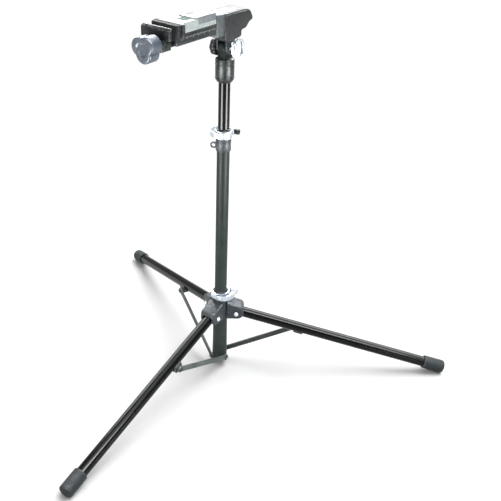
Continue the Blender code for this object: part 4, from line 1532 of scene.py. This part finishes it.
@dataclass
class Mast:
    """The telescoping mast with its socket and the tongue of the tilt joint."""

    radius: float = 0.0154
    wall: float = 0.0015
    socket: float = 0.0245
    taper: float = 0.008

    def build(self) -> list[bpy.types.Object]:
        """Builds and dresses the mast.

        Returns:
            Its pieces.
        """
        low, high = heights("mast_tube")
        inner = self.radius - self.wall
        loop = np.array([(inner, low), (self.radius, low), (self.radius, high), (inner, high)])
        pipe = fit(turned("fine_mast_tube", COLUMN, rounded(loop, 0.0005, 2), BLACK_TUBE), "mast_tube")
        bush = refined("mast_bush", BLACK_PLASTIC, 0.0006)
        socket = refined("head_socket", SOCKET_DARK, 0.0012)
        return [pipe, bush, socket, *self.bands()]

    def bands(self) -> list[bpy.types.Object]:
        """Two raised rings round the socket, each a small half-round turned about the column.

        Returns:
            The rings.
        """
        low, _ = heights("head_socket")
        made = []
        for count, z in enumerate((low + self.taper + 0.004, low + 0.046)):
            bead = arc(self.socket - 0.0004, z, 0.0011, -90, 90, 8)
            loop = np.concatenate(
                [bead, [(self.socket - 0.002, z + 0.0011), (self.socket - 0.002, z - 0.0011)]]
            )
            made.append(
                extra(turned(f"socket_band_{count + 1}", COLUMN, loop, SOCKET_DARK), "head_socket")
            )
        return made


@dataclass
class TiltJoint:
    """The fork over the tongue, its axle, tightening knob and cam lever."""

    knob: float = 0.0246
    lobes: int = 8
    dip: float = 0.0016
    barrel: float = 0.0036
    barrel_low: float = -0.013
    barrel_high: float = 0.017
    crescent_middle: tuple[float, float] = (-0.017, -0.002)
    crescent_half: tuple[float, float] = (0.016, 0.0245)
    crescent_turn: tuple[float, float] = (66, 234)
    blade_half: float = 0.0035

    def local(self) -> Place:
        """The head's frame: on the tilt axle, x along the arm and y along the axle."""
        return facing(point_of("head_tilt"), axis_of("head_tilt"))

    def build(self) -> list[bpy.types.Object]:
        """Builds and dresses the joint.

        Returns:
            Its pieces.
        """
        fork = refined("tilt_fork", SOCKET_DARK, 0.0012)
        axle = refined("tilt_axle", BOLT_STEEL, 0.0005)
        return [fork, axle, self.grip(), *self.lever()]

    def grip(self) -> bpy.types.Object:
        """The lobed knob: a dished profile whose radius dips between the lobes.

        Returns:
            The piece.
        """
        local = self.local()
        low, high = reach_along("tilt_knob", local, 1)
        edge = self.knob
        loop = np.array(
            [
                (0, high), (edge - 0.002, high), (edge, high - 0.004), (edge, low + 0.003),
                (edge - 0.003, low),
                (0.015, low), (0.013, low + 0.002), (0.006, low + 0.002), (0.005, low + 0.0005),
                (0, low + 0.0005),
            ]
        )
        reach = np.array([0, 0.0015, 0.002, 0.002, 0.002, 0.001, 0.001, 0.001, 0.001, 0])
        angle = np.arange(2 * FINE) * TAU / (2 * FINE)
        swell = 1 - self.dip / edge * (0.5 - 0.5 * np.cos(self.lobes * angle))
        piece = turned(
            "fine_tilt_knob", local, rounded(loop, reach), BLACK_PLASTIC, Along.Y, 2 * FINE, swell=swell
        )
        return fit(piece, "tilt_knob")

    def lever(self) -> list[bpy.types.Object]:
        """The cam lever: a barrel, a short neck and a crescent that is thickest at its middle.

        The crescent's middle is part of an ellipse and its half thickness a raised sine.

        Returns:
            Its pieces.
        """
        point = point_of("cam_lever_hinge")
        local = Place(point, self.local().axes)
        low, high = self.barrel_low, self.barrel_high
        y_high = reach_along("cam_lever", local, 1)[1]
        loop = np.array([(0, low), (self.barrel, low), (self.barrel, high), (0, high)])
        barrel = turned(
            "fine_cam_lever", local, rounded(loop, np.array([0, 0.001, 0.001, 0])), BRIGHT, sides=SMALL
        )
        across = np.radians(np.linspace(*self.crescent_turn, 60))
        (x, y), (wide, tall) = self.crescent_middle, self.crescent_half
        crescent = np.stack([x + wide * np.cos(across), tall * np.sin(across) + y], axis=1)
        path = spline(np.concatenate([[(-0.001, 0.0125), (-0.005, 0.0180)], crescent[4::5]]), 70)
        t = np.linspace(0, 1, len(path))
        thick = 0.0010 + 0.0022 * np.sin(np.pi * t) ** 0.7
        half = np.full(len(path), self.blade_half) * np.sqrt(
            np.clip(1 - ((t - 0.9) / 0.1).clip(0, 1) ** 2, 0.05, 1)
        )
        middle = Place(local.out(np.array([[0, y_high - self.blade_half, 0]]))[0], local.axes)
        arm = blade("blade_cam_lever", middle, path, thick, half, BRIGHT, Along.Y)
        neck = block(
            "neck_cam_lever",
            local,
            (-0.0045, 0, 0.0095),
            (0.0035, y_high - 0.0002, 0.0165),
            BRIGHT,
            0.0012,
        )
        return [fit(barrel, "cam_lever"), extra(arm, "cam_lever"), extra(neck, "cam_lever")]


# ---------------------------------------------------------------- clamp head


@dataclass
class ClampHead:
    """The head's housing, side plates, front collar, rail and fixed jaw, from the tilt axle."""

    floor: float = 0.0448
    top: float = 0.0930
    front: float = 0.0380
    back: float = -0.0780
    half: float = 0.0257
    plate_t: float = 0.002
    gap: float = 0.0003
    skirt: float = 0.0225
    rail_start: float = 0.0686
    rail_end: float = 0.2130
    rail_half: float = 0.0250
    jaw_top: float = 0.1005
    step_x: float = 0.1330
    step_z: float = 0.0865
    cover_top: float = 0.1035
    recess_x: float = 0.1480
    lip_t: float = 0.0027
    ribs: int = 5
    pad_half: float = 0.0390
    tick_step: float = 0.005

    def local(self) -> Place:
        """The head's frame."""
        return TiltJoint().local()

    def build(self) -> list[bpy.types.Object]:
        """Builds and dresses the head.

        Returns:
            Its pieces.
        """
        made = [self.body(), *self.plates(), self.collar(), refined("rail", RAIL_DARK, 0.0008)]
        made += [self.slot_shadow(), self.edge_highlight(), self.ticks(), refined("jaw_body", WHITE_JAW, 0.0010)]
        return made + [self.cover(), self.plate(), self.pad(), self.top_highlight()]

    def body(self) -> bpy.types.Object:
        """The housing: its side outline carried across with a soft rim, and a slot along the top.

        Returns:
            The piece.
        """
        back, top = self.back, self.top
        outline = np.array(
            [
                (self.front, self.floor), (self.front, top), (back + 0.028, top),
                (back + 0.014, top - 0.005), (back + 0.004, top - 0.014),
                (back, top - 0.026), (back + 0.004, top - 0.034), (back + 0.028, top - 0.040),
                (back + 0.030, self.floor),
            ]
        )
        reach = np.array([0.002, 0.002, 0.012, 0.008, 0.008, 0.006, 0.006, 0.006, 0.003])
        piece = slab(
            "fine_head_body",
            self.local(),
            rounded(outline, reach, 6),
            -self.half,
            self.half,
            HOUSING,
            0.0035,
            Along.Y,
            5,
        )
        slot = block(
            "slot",
            self.local(),
            (-0.044, 0.0185, top - 0.003),
            (0.034, 0.0222, top + 0.01),
            HOUSING,
            0.0015,
            0.0002,
        )
        return fit(carve(piece, slot), "head_body")

    def slot_shadow(self) -> bpy.types.Object:
        """A near-black sheet in the housing's slot: painted shadow in the gap beside the side plate."""
        low, high = (-0.0439, 0.0186, self.top - 0.0032), (0.0339, 0.0221, self.top - 0.0010)
        return extra(
            block("slot_shadow_sheet", self.local(), low, high, SHADOW_SLOT, 0.0012, 0.0001), "head_body"
        )

    def edge_highlight(self) -> bpy.types.Object:
        """A pale strip beside the slot: a painted highlight along the side plate's top edge."""
        low, high = (-0.040, 0.0226, self.top - 0.0010), (0.030, 0.0232, self.top + 0.00005)
        return extra(block("slot_edge_highlight", self.local(), low, high, BRIGHT, 0.0002, 0.0001), "head_body")

    def plates(self) -> list[bpy.types.Object]:
        """The side plates, plain and softly rimmed; the right one has the skirt over the fork.

        Returns:
            Both plates.
        """
        back, top = self.back, self.top - 0.004
        inside, outside = self.half + self.gap, self.half + self.gap + self.plate_t
        shell = [
            (self.front - 0.002, top),
            (back + 0.027, top),
            (back + 0.006, self.top - 0.018),
            (back + 0.003, self.top - 0.030),
            (back + 0.018, self.top - 0.0345),
        ]
        left = shell + [(back + 0.034, self.floor + 0.002), (self.front - 0.002, self.floor + 0.002)]
        right = shell + [
            (
                back + 0.030, self.floor + 0.001
            ), (-0.029, self.floor - 0.001), (-0.029, self.skirt + 0.006), (-0.011, self.skirt + 0.004),
            (0.010, self.skirt), (0.020, self.skirt - 0.001), (self.front - 0.003, self.skirt + 0.005),
        ]
        one = slab(
            "fine_side_plate_left",
            self.local(),
            rounded(np.array(left), 0.005, 6),
            -outside,
            -inside,
            HOUSING,
            0.0009,
            Along.Y,
        )
        two = slab(
            "fine_side_plate_right",
            self.local(),
            rounded(np.array(right), 0.005, 6),
            inside,
            outside,
            HOUSING,
            0.0009,
            Along.Y,
        )
        return [fit(one, "side_plate_left"), fit(two, "side_plate_right")]

    def collar(self) -> bpy.types.Object:
        """The speckled front collar."""
        return refined("front_collar", COLLAR_ROUGH, 0.0010)

    def ticks(self) -> bpy.types.Object:
        """The rail's scale: pale upright lines, every fourth one longer, as one mesh.

        A tick is a flat box; all boxes are one array of eight corners offset along the rail.

        Returns:
            The piece.
        """
        x = np.arange(self.rail_start + 0.006, self.rail_end - 0.012, self.tick_step)
        tall = np.where(np.arange(len(x)) % 4 == 0, 0.0058, 0.0032)
        corner = np.array([(a, b, c) for a in (-1, 1) for b in (-1, 1) for c in (0, 1)], float)
        points = np.empty((len(x), 8, 3))
        points[:, :, 0] = x[:, None] + 0.00045 * corner[None, :, 0]
        points[:, :, 1] = self.rail_half - 0.0001 + 0.00022 * corner[None, :, 1]
        points[:, :, 2] = 0.0675 - tall[:, None] * corner[None, :, 2]
        side = np.array(
            [(0, 1, 3, 2), (4, 6, 7, 5), (0, 4, 5, 1), (2, 3, 7, 6), (0, 2, 6, 4), (1, 5, 7, 3)]
        )
        faces = (side[None] + 8 * np.arange(len(x))[:, None, None]).reshape(-1, 4)
        return extra(
            make("rail_ticks", self.local().out(points.reshape(-1, 3)), faces.tolist(), MARK_WHITE),
            "rail",
        )

    def cover(self) -> bpy.types.Object:
        """The fixed jaw's cover: a wedge with ribs across its front, carried across with a soft rim.

        Returns:
            The piece.
        """
        seat, lead = self.step_z + self.gap, self.step_x + 0.005
        base = [
            (self.rail_start + 0.001, seat), (self.step_x - 0.0006, seat),
            (lead - 0.0006, self.jaw_top + self.gap),
            (self.recess_x - 0.002, self.jaw_top + self.gap),
            (self.recess_x - 0.002, self.jaw_top + self.lip_t), (self.step_x, self.cover_top),
        ]
        grooves = []
        for rib in range(self.ribs):
            x = self.step_x - 0.006 - 0.0085 * rib
            grooves += [
                (x, self.cover_top),
                (x - 0.001, self.cover_top - 0.0016),
                (x - 0.003, self.cover_top - 0.0016),
                (x - 0.004, self.cover_top),
            ]
        outline = np.array(base + grooves + [(self.rail_start + 0.001, self.cover_top)])
        reach = np.array(
            [0.001, 0.001, 0.0005, 0.0005, 0.001, 0.002] + [0.0005] * len(grooves) + [0.0025]
        )
        piece = slab(
            "fine_jaw_cover",
            self.local(),
            rounded(outline, reach, 3),
            -self.rail_half,
            self.rail_half,
            COVER_GREY,
            0.0010,
            Along.Y,
        )
        return fit(piece, "jaw_cover")

    def plate(self) -> bpy.types.Object:
        """The jaw plate across the rail's end."""
        return refined("jaw_plate", BLACK_PLASTIC, 0.0010)

    def pad(self) -> bpy.types.Object:
        """The inner rubber pad, grooved across its gripping face.

        Returns:
            The piece.
        """
        low, high = heights("inner_pad")
        back, face = reach_along("inner_pad", self.local(), 0)
        z = self.local().origin[2]
        outline = pad_outline(back, face, self.pad_half, 1)
        return fit(
            slab("fine_inner_pad", self.local(), outline, low - z, high - z, PAD_RUBBER, 0.0012),
            "inner_pad",
        )

    def top_highlight(self) -> bpy.types.Object:
        """A pale strip along the plate's upper edge: a painted highlight on its lit top."""
        low, high = (0.2040, -0.0415, self.cover_top - 0.0008), (
            0.2060, 0.0415, self.cover_top + 0.00002
        )
        return extra(block("plate_top_highlight", self.local(), low, high, TOP_HIGHLIGHT, 0.0006, 0.0003), "jaw_plate")


def pad_outline(back: float, face: float, half: float, direction: int) -> np.ndarray:
    """Plan of a pad: rounded corners, fine grooves and a shallow V in the middle of its face.

    The face's depth is a V near the middle plus a small raised cosine along the width.

    Args:
        back: The pad's back.
        face: The pad's gripping face.
        half: Half its width.
        direction: 1 or -1, the way that it faces.

    Returns:
        Points of the outline.
    """
    y = np.linspace(half - 0.003, 0.003 - half, 121)
    vee = 0.003 * np.clip(1 - np.abs(y) / 0.009, 0, 1)
    groove = 0.0005 * (0.5 - 0.5 * np.cos(TAU * y / 0.0065)) * (np.abs(y) > 0.010)
    front = np.stack([face - direction * (vee + groove), y], axis=1)
    ends = np.array([(back, -half), (back, half), (face - direction * 0.002, half)])
    tail = np.array([(face - direction * 0.002, -half)])
    return np.concatenate([ends, front, tail])


@dataclass
class SlidingJaw:
    """The outer jaw with its carriage, screw and grip."""

    bar_half: float = 0.0430
    bar_floor: float = 0.0745
    bar_top: float = 0.1015
    pad_half: float = 0.0390
    screw: float = 0.005
    pitch: float = 0.004
    grip: float = 0.0335
    valley: float = 0.0245
    neck: float = 0.0130
    lobe_turn: float = math.radians(40.0)

    def local(self) -> Place:
        """The head's frame."""
        return TiltJoint().local()

    def build(self) -> list[bpy.types.Object]:
        """Builds and dresses the sliding jaw.

        Returns:
            Its pieces.
        """
        carriage = refined("jaw_carriage", SOCKET_DARK, 0.0010)
        return [carriage, self.bar(), self.pad(), self.strip(), self.spindle(), *self.handle()]

    def bar(self) -> bpy.types.Object:
        """The black bar behind the pad, sloped along its front.

        Returns:
            The piece.
        """
        back, front = reach_along("outer_jaw_bar", self.local(), 0)
        outline = np.array(
            [
                (back, self.bar_floor),
                (front, self.bar_floor),
                (front, self.bar_top - 0.005),
                (back + 0.003, self.bar_top),
                (back, self.bar_top),
            ]
        )
        piece = slab(
            "fine_outer_jaw_bar",
            self.local(),
            rounded(outline, 0.0015),
            -self.bar_half,
            self.bar_half,
            BLACK_PLASTIC,
            0.0020,
            Along.Y,
            4,
        )
        return fit(piece, "outer_jaw_bar")

    def strip(self) -> bpy.types.Object:
        """The pale strip along the bar's top: a painted highlight on its lit top.

        Returns:
            The piece.
        """
        back, _ = reach_along("outer_jaw_bar", self.local(), 0)
        low = (back + 0.0003, -self.bar_half + 0.003, self.bar_top - 0.001)
        high = (back + 0.0022, self.bar_half - 0.003, self.bar_top + 0.00005)
        return extra(
            block("bar_top_highlight", self.local(), low, high, TOP_HIGHLIGHT, 0.0008, 0.0002), "outer_jaw_bar"
        )

    def pad(self) -> bpy.types.Object:
        """The outer rubber pad, grooved across its gripping face.

        Returns:
            The piece.
        """
        low, high = heights("outer_pad")
        face, back = reach_along("outer_pad", self.local(), 0)
        z = self.local().origin[2]
        outline = pad_outline(back, face, self.pad_half, -1)
        return fit(
            slab("fine_outer_pad", self.local(), outline, low - z, high - z, PAD_RUBBER, 0.0008),
            "outer_pad",
        )

    def axis_place(self) -> Place:
        """The screw's frame: the head's axes on the screw's centre line."""
        return Place(point_of("clamp_screw_turn"), self.local().axes)

    def spindle(self) -> bpy.types.Object:
        """The screw: the radius follows a rounded sawtooth of the length plus the turn.

        A point is at (length, r cosine, r sine), with r = root + depth x |sine| of the thread's phase.

        Returns:
            The piece.
        """
        low, high = reach_along("clamp_screw", self.axis_place(), 0)
        x = np.linspace(low, high, int((high - low) / self.pitch * 8))
        angle = np.arange(SMALL) * TAU / SMALL
        phase = np.pi * x[:, None] / self.pitch + angle[None] / 2
        radius = self.screw - 0.0007 * np.abs(np.sin(phase))
        grid = np.stack(
            [np.repeat(x[:, None], SMALL, 1), radius * np.cos(angle), radius * np.sin(angle)], axis=2
        )
        faces = grid_faces(len(x), SMALL, False, True).tolist()
        faces += [list(range(SMALL))[::-1], list(range((len(x) - 1) * SMALL, len(x) * SMALL))]
        return fit(
            make("fine_clamp_screw", self.axis_place().out(grid.reshape(-1, 3)), faces, BOLT_STEEL),
            "clamp_screw",
        )

    def handle(self) -> list[bpy.types.Object]:
        """The three-lobed grip and its neck.

        The grip's radius at a turn angle is valley + (grip - valley) x raised cosine of three
        turns, to a power below 1 so that the valleys are narrow; its outer face is dished.

        Returns:
            Its pieces.
        """
        local = self.axis_place()
        node = "clamp_knob"
        _, high = reach_along(node, local, 0)
        low = high - 0.034
        sides = 2 * FINE
        angle = np.arange(sides) * TAU / sides
        wave = 0.5 + 0.5 * np.cos(3 * (angle - self.lobe_turn))
        lobes = (self.valley + (self.grip - self.valley) * wave**0.45) / self.grip
        edge = self.grip
        loop = np.array(
            [
                (0, low),
                (edge - 0.002, low),
                (edge, low + 0.002),
                (edge, high - 0.003),
                (edge - 0.003, high),
                (0.018, high),
                (0.015, high - 0.0015),
                (0, high - 0.0015),
            ]
        )
        reach = np.array([0, 0.0015, 0.002, 0.0025, 0.0025, 0.001, 0.001, 0])
        grip = turned(
            "fine_clamp_knob", local, rounded(loop, reach, 6), GRIP_BLUE, Along.X, sides, swell=lobes
        )
        start = reach_along(node, local, 0)[0]
        loop = np.array(
            [
                (self.screw + 0.0003, start),
                (self.neck, start),
                (self.neck, low + 0.002),
                (self.screw + 0.0003, low + 0.002),
            ]
        )
        collar = turned("neck_clamp_knob", local, rounded(loop, 0.0008), GRIP_BLUE, Along.X, SMALL)
        return [fit(grip, node), extra(collar, node)]


# ---------------------------------------------------------------- studio


# Each lamp's name, place, target, width, height and power.
SOFT_LAMPS = (
    ("top", (0.9, 0.9, 2.6), (-0.1, 0, 0.6), 1.2, 1.2, 6),
    ("front", (1.8, -2.0, 1.5), (-0.1, 0, 0.7), 0.9, 0.9, 5),
)
SHEEN_LAMPS = (
    ("bar_front", (-0.2, -1.3, 2.7), (-0.2, 0, 0.3), 5.0, 0.8, 420),
    ("bar_back", (-0.2, 1.9, 2.2), (-0.2, 0, 0.3), 5.0, 0.8, 330),
)
FLOOR_GLOWS = (("floor_left", -44.0), ("floor_right", 51.0))  # degrees from the camera's bearing


@dataclass
class Studio:
    """Floor, lights and camera."""

    sun_strength: float = 2.35
    glow_power: float = 300
    glow_out: float = 2.3
    glow_lift: float = 0.02
    glow_size: tuple[float, float] = (1.1, 2.2)
    floor: float = 14.0
    eye: tuple[float, float, float] = (-0.04318, -2.0569, 1.5554)
    yaw: float = math.radians(-1.078)
    pitch: float = math.radians(29.544)
    roll: float = math.radians(2.184)
    lens: float = 60.16

    def build(self) -> None:
        """Builds the studio round the stand."""
        self.ground()
        self.world()
        self.sun(self.sun_strength)
        for name, at, target, width, height, power in SOFT_LAMPS:
            self.softbox(name, at, target, width, height, power)
        for name, at, target, width, height, power in SHEEN_LAMPS:
            self.sheen(name, at, target, width, height, power)
        for name, turn in FLOOR_GLOWS:
            self.glow(name, turn, self.glow_power)
        self.camera()

    def ground(self) -> None:
        """A pale round floor: rings of radius times turn angles, at z = 0."""
        radius = np.linspace(0, 1, 24)[:, None] ** 2 * self.floor
        angle = np.arange(FINE) * TAU / FINE
        grid = np.stack([radius * np.cos(angle), radius * np.sin(angle), np.zeros((24, FINE))], axis=2)
        mesh = bpy.data.meshes.new("floor")
        mesh.from_pydata(grid.reshape(-1, 3).tolist(), [], grid_faces(24, FINE, False, True).tolist())
        work = bmesh.new()
        work.from_mesh(mesh)
        bmesh.ops.remove_doubles(work, verts=work.verts, dist=1e-6)
        for face in work.faces:
            if face.normal.z < 0:
                face.normal_flip()
        work.to_mesh(mesh)
        work.free()
        paint = Finish(
            "floor_pale", (0.95, 0.95, 0.95), (0.97, 0.97, 0.97), 0.8, grain=200.0, bump=0.02, wear=0.0
        )
        mesh.materials.append(paint.material())
        floor = bpy.data.objects.new("floor", mesh)
        bpy.context.collection.objects.link(floor)

    def world(self) -> None:
        """Pale surroundings: white to look at, dimmer as a light."""
        sky = bpy.data.worlds.new("studio")
        sky.use_nodes = True
        tree = sky.node_tree
        background = tree.nodes["Background"]
        background.inputs["Color"].default_value = (1, 1, 1, 1)
        ray = tree.nodes.new("ShaderNodeLightPath")
        level = tree.nodes.new("ShaderNodeMapRange")
        level.inputs["To Min"].default_value = 0.40
        level.inputs["To Max"].default_value = 1.0
        tree.links.new(ray.outputs["Is Camera Ray"], level.inputs["Value"])
        tree.links.new(level.outputs["Result"], background.inputs["Strength"])
        bpy.context.scene.world = sky
        bpy.context.scene.view_settings.view_transform = "Standard"

    def sun(self, strength: float) -> None:
        """A wide soft sun from high on the right, so that the whole floor is equally bright.

        Args:
            strength: The sun's strength.
        """
        light = bpy.data.lights.new("sun", "SUN")
        light.energy, light.angle = strength, math.radians(50)
        lamp = bpy.data.objects.new("sun", light)
        bpy.context.collection.objects.link(lamp)
        back = np.array((0.35, 0.25, 1.0)) / math.sqrt(0.35**2 + 0.25**2 + 1)
        right = np.cross((0.0, 1.0, 0.0), back)
        right /= np.linalg.norm(right)
        lamp.matrix_world = frame_matrix(np.stack([right, np.cross(back, right), back]), (0, 0, 3))

    def sheen(
        self,
        name: str,
        at: tuple[float, float, float],
        target: tuple[float, float, float],
        width: float,
        height: float,
        power: float,
    ) -> None:
        """A light that shows only in reflections, for a stripe along a tube.

        Args:
            name: The lamp's name.
            at: Where it hangs.
            target: What it faces.
            width: Its width.
            height: Its height.
            power: Its power in watts.
        """
        lamp = self.softbox(name, at, target, width, height, power)
        lamp.visible_camera = False
        lamp.visible_diffuse = False

    def glow(self, name: str, turn: float, power: float) -> None:
        """A strip on the floor that shows only in reflections, turned from the camera's bearing.

        Its middle is glow_out from the column, and its length runs straight away from it.

        Args:
            name: The lamp's name.
            turn: Degrees from the camera's bearing.
            power: Its power in watts.
        """
        foot = COLUMN.origin[:2]
        ahead = np.array(self.eye[:2]) - foot
        bearing = math.atan2(ahead[1], ahead[0]) + math.radians(turn)
        out = np.array([math.cos(bearing), math.sin(bearing)])
        at = (*(foot + self.glow_out * out), self.glow_lift)
        lamp = self.softbox(name, at, (at[0], at[1] + 1e-3, 1.0), *self.glow_size, power)
        side = np.array([-out[1], out[0], 0.0])
        along = np.array([out[0], out[1], 0.0])
        lamp.matrix_world = frame_matrix(np.stack([side, along, np.cross(side, along)]), at)
        lamp.visible_camera = False
        lamp.visible_diffuse = False

    def softbox(
        self,
        name: str,
        at: tuple[float, float, float],
        target: tuple[float, float, float],
        width: float,
        height: float,
        power: float,
    ) -> bpy.types.Object:
        """Hangs an area light that faces a target, and returns it.

        Args:
            name: The lamp's name.
            at: Where it hangs.
            target: What it faces.
            width: Its width.
            height: Its height.
            power: Its power in watts.

        Returns:
            The lamp.
        """
        light = bpy.data.lights.new(name, "AREA")
        light.shape = "RECTANGLE"
        light.size, light.size_y, light.energy = width, height, power
        lamp = bpy.data.objects.new(name, light)
        bpy.context.collection.objects.link(lamp)
        back = np.array(at, float) - np.array(target, float)
        back /= np.linalg.norm(back)
        right = np.cross(UP, back)
        right /= np.linalg.norm(right)
        lamp.matrix_world = frame_matrix(np.stack([right, np.cross(back, right), back]), at)
        return lamp

    def camera(self) -> None:
        """Stands the camera at its place, turned by yaw, pitch and roll."""
        cp, sp, cy, sy = math.cos(self.pitch), math.sin(
            self.pitch
        ), math.cos(self.yaw), math.sin(self.yaw)
        ahead = np.array([sy * cp, cy * cp, -sp])
        right = np.array([cy, -sy, 0.0])
        above = np.cross(right, ahead)
        c, s = math.cos(self.roll), math.sin(self.roll)
        lens = bpy.data.cameras.new("camera")
        lens.lens = self.lens
        lens.sensor_width = 36.0
        eye = bpy.data.objects.new("camera", lens)
        bpy.context.collection.objects.link(eye)
        rows = np.stack([right * c + above * s, -right * s + above * c, -ahead])
        eye.matrix_world = frame_matrix(rows, self.eye)
        bpy.context.scene.camera = eye


def frame_matrix(axes: np.ndarray, at: tuple[float, float, float]) -> Matrix:
    """A 4x4 matrix with the axes as its columns and a place.

    Args:
        axes: Three rows, the axes.
        at: The place.

    Returns:
        The matrix.
    """
    matrix = np.eye(4)
    matrix[:3, :3] = axes.T
    matrix[:3, 3] = at
    return Matrix(matrix.tolist())


def main() -> None:
    """Builds the stand's sub-assemblies in order, then the studio, and logs their pieces."""
    logging.basicConfig(level=logging.INFO, format="%(name)s %(message)s")
    report("column", Column().build())
    for leg in LEGS:
        report(f"leg {leg}", Leg(leg).build())
        report(f"strut {leg}", Strut(leg).build())
    report("hub", Hub().build())
    report("collar", Collar().build())
    report("mast", Mast().build())
    report("tilt joint", TiltJoint().build())
    report("clamp head", ClampHead().build())
    report("sliding jaw", SlidingJaw().build())
    Studio().build()


if __name__ == "__main__":
    main()
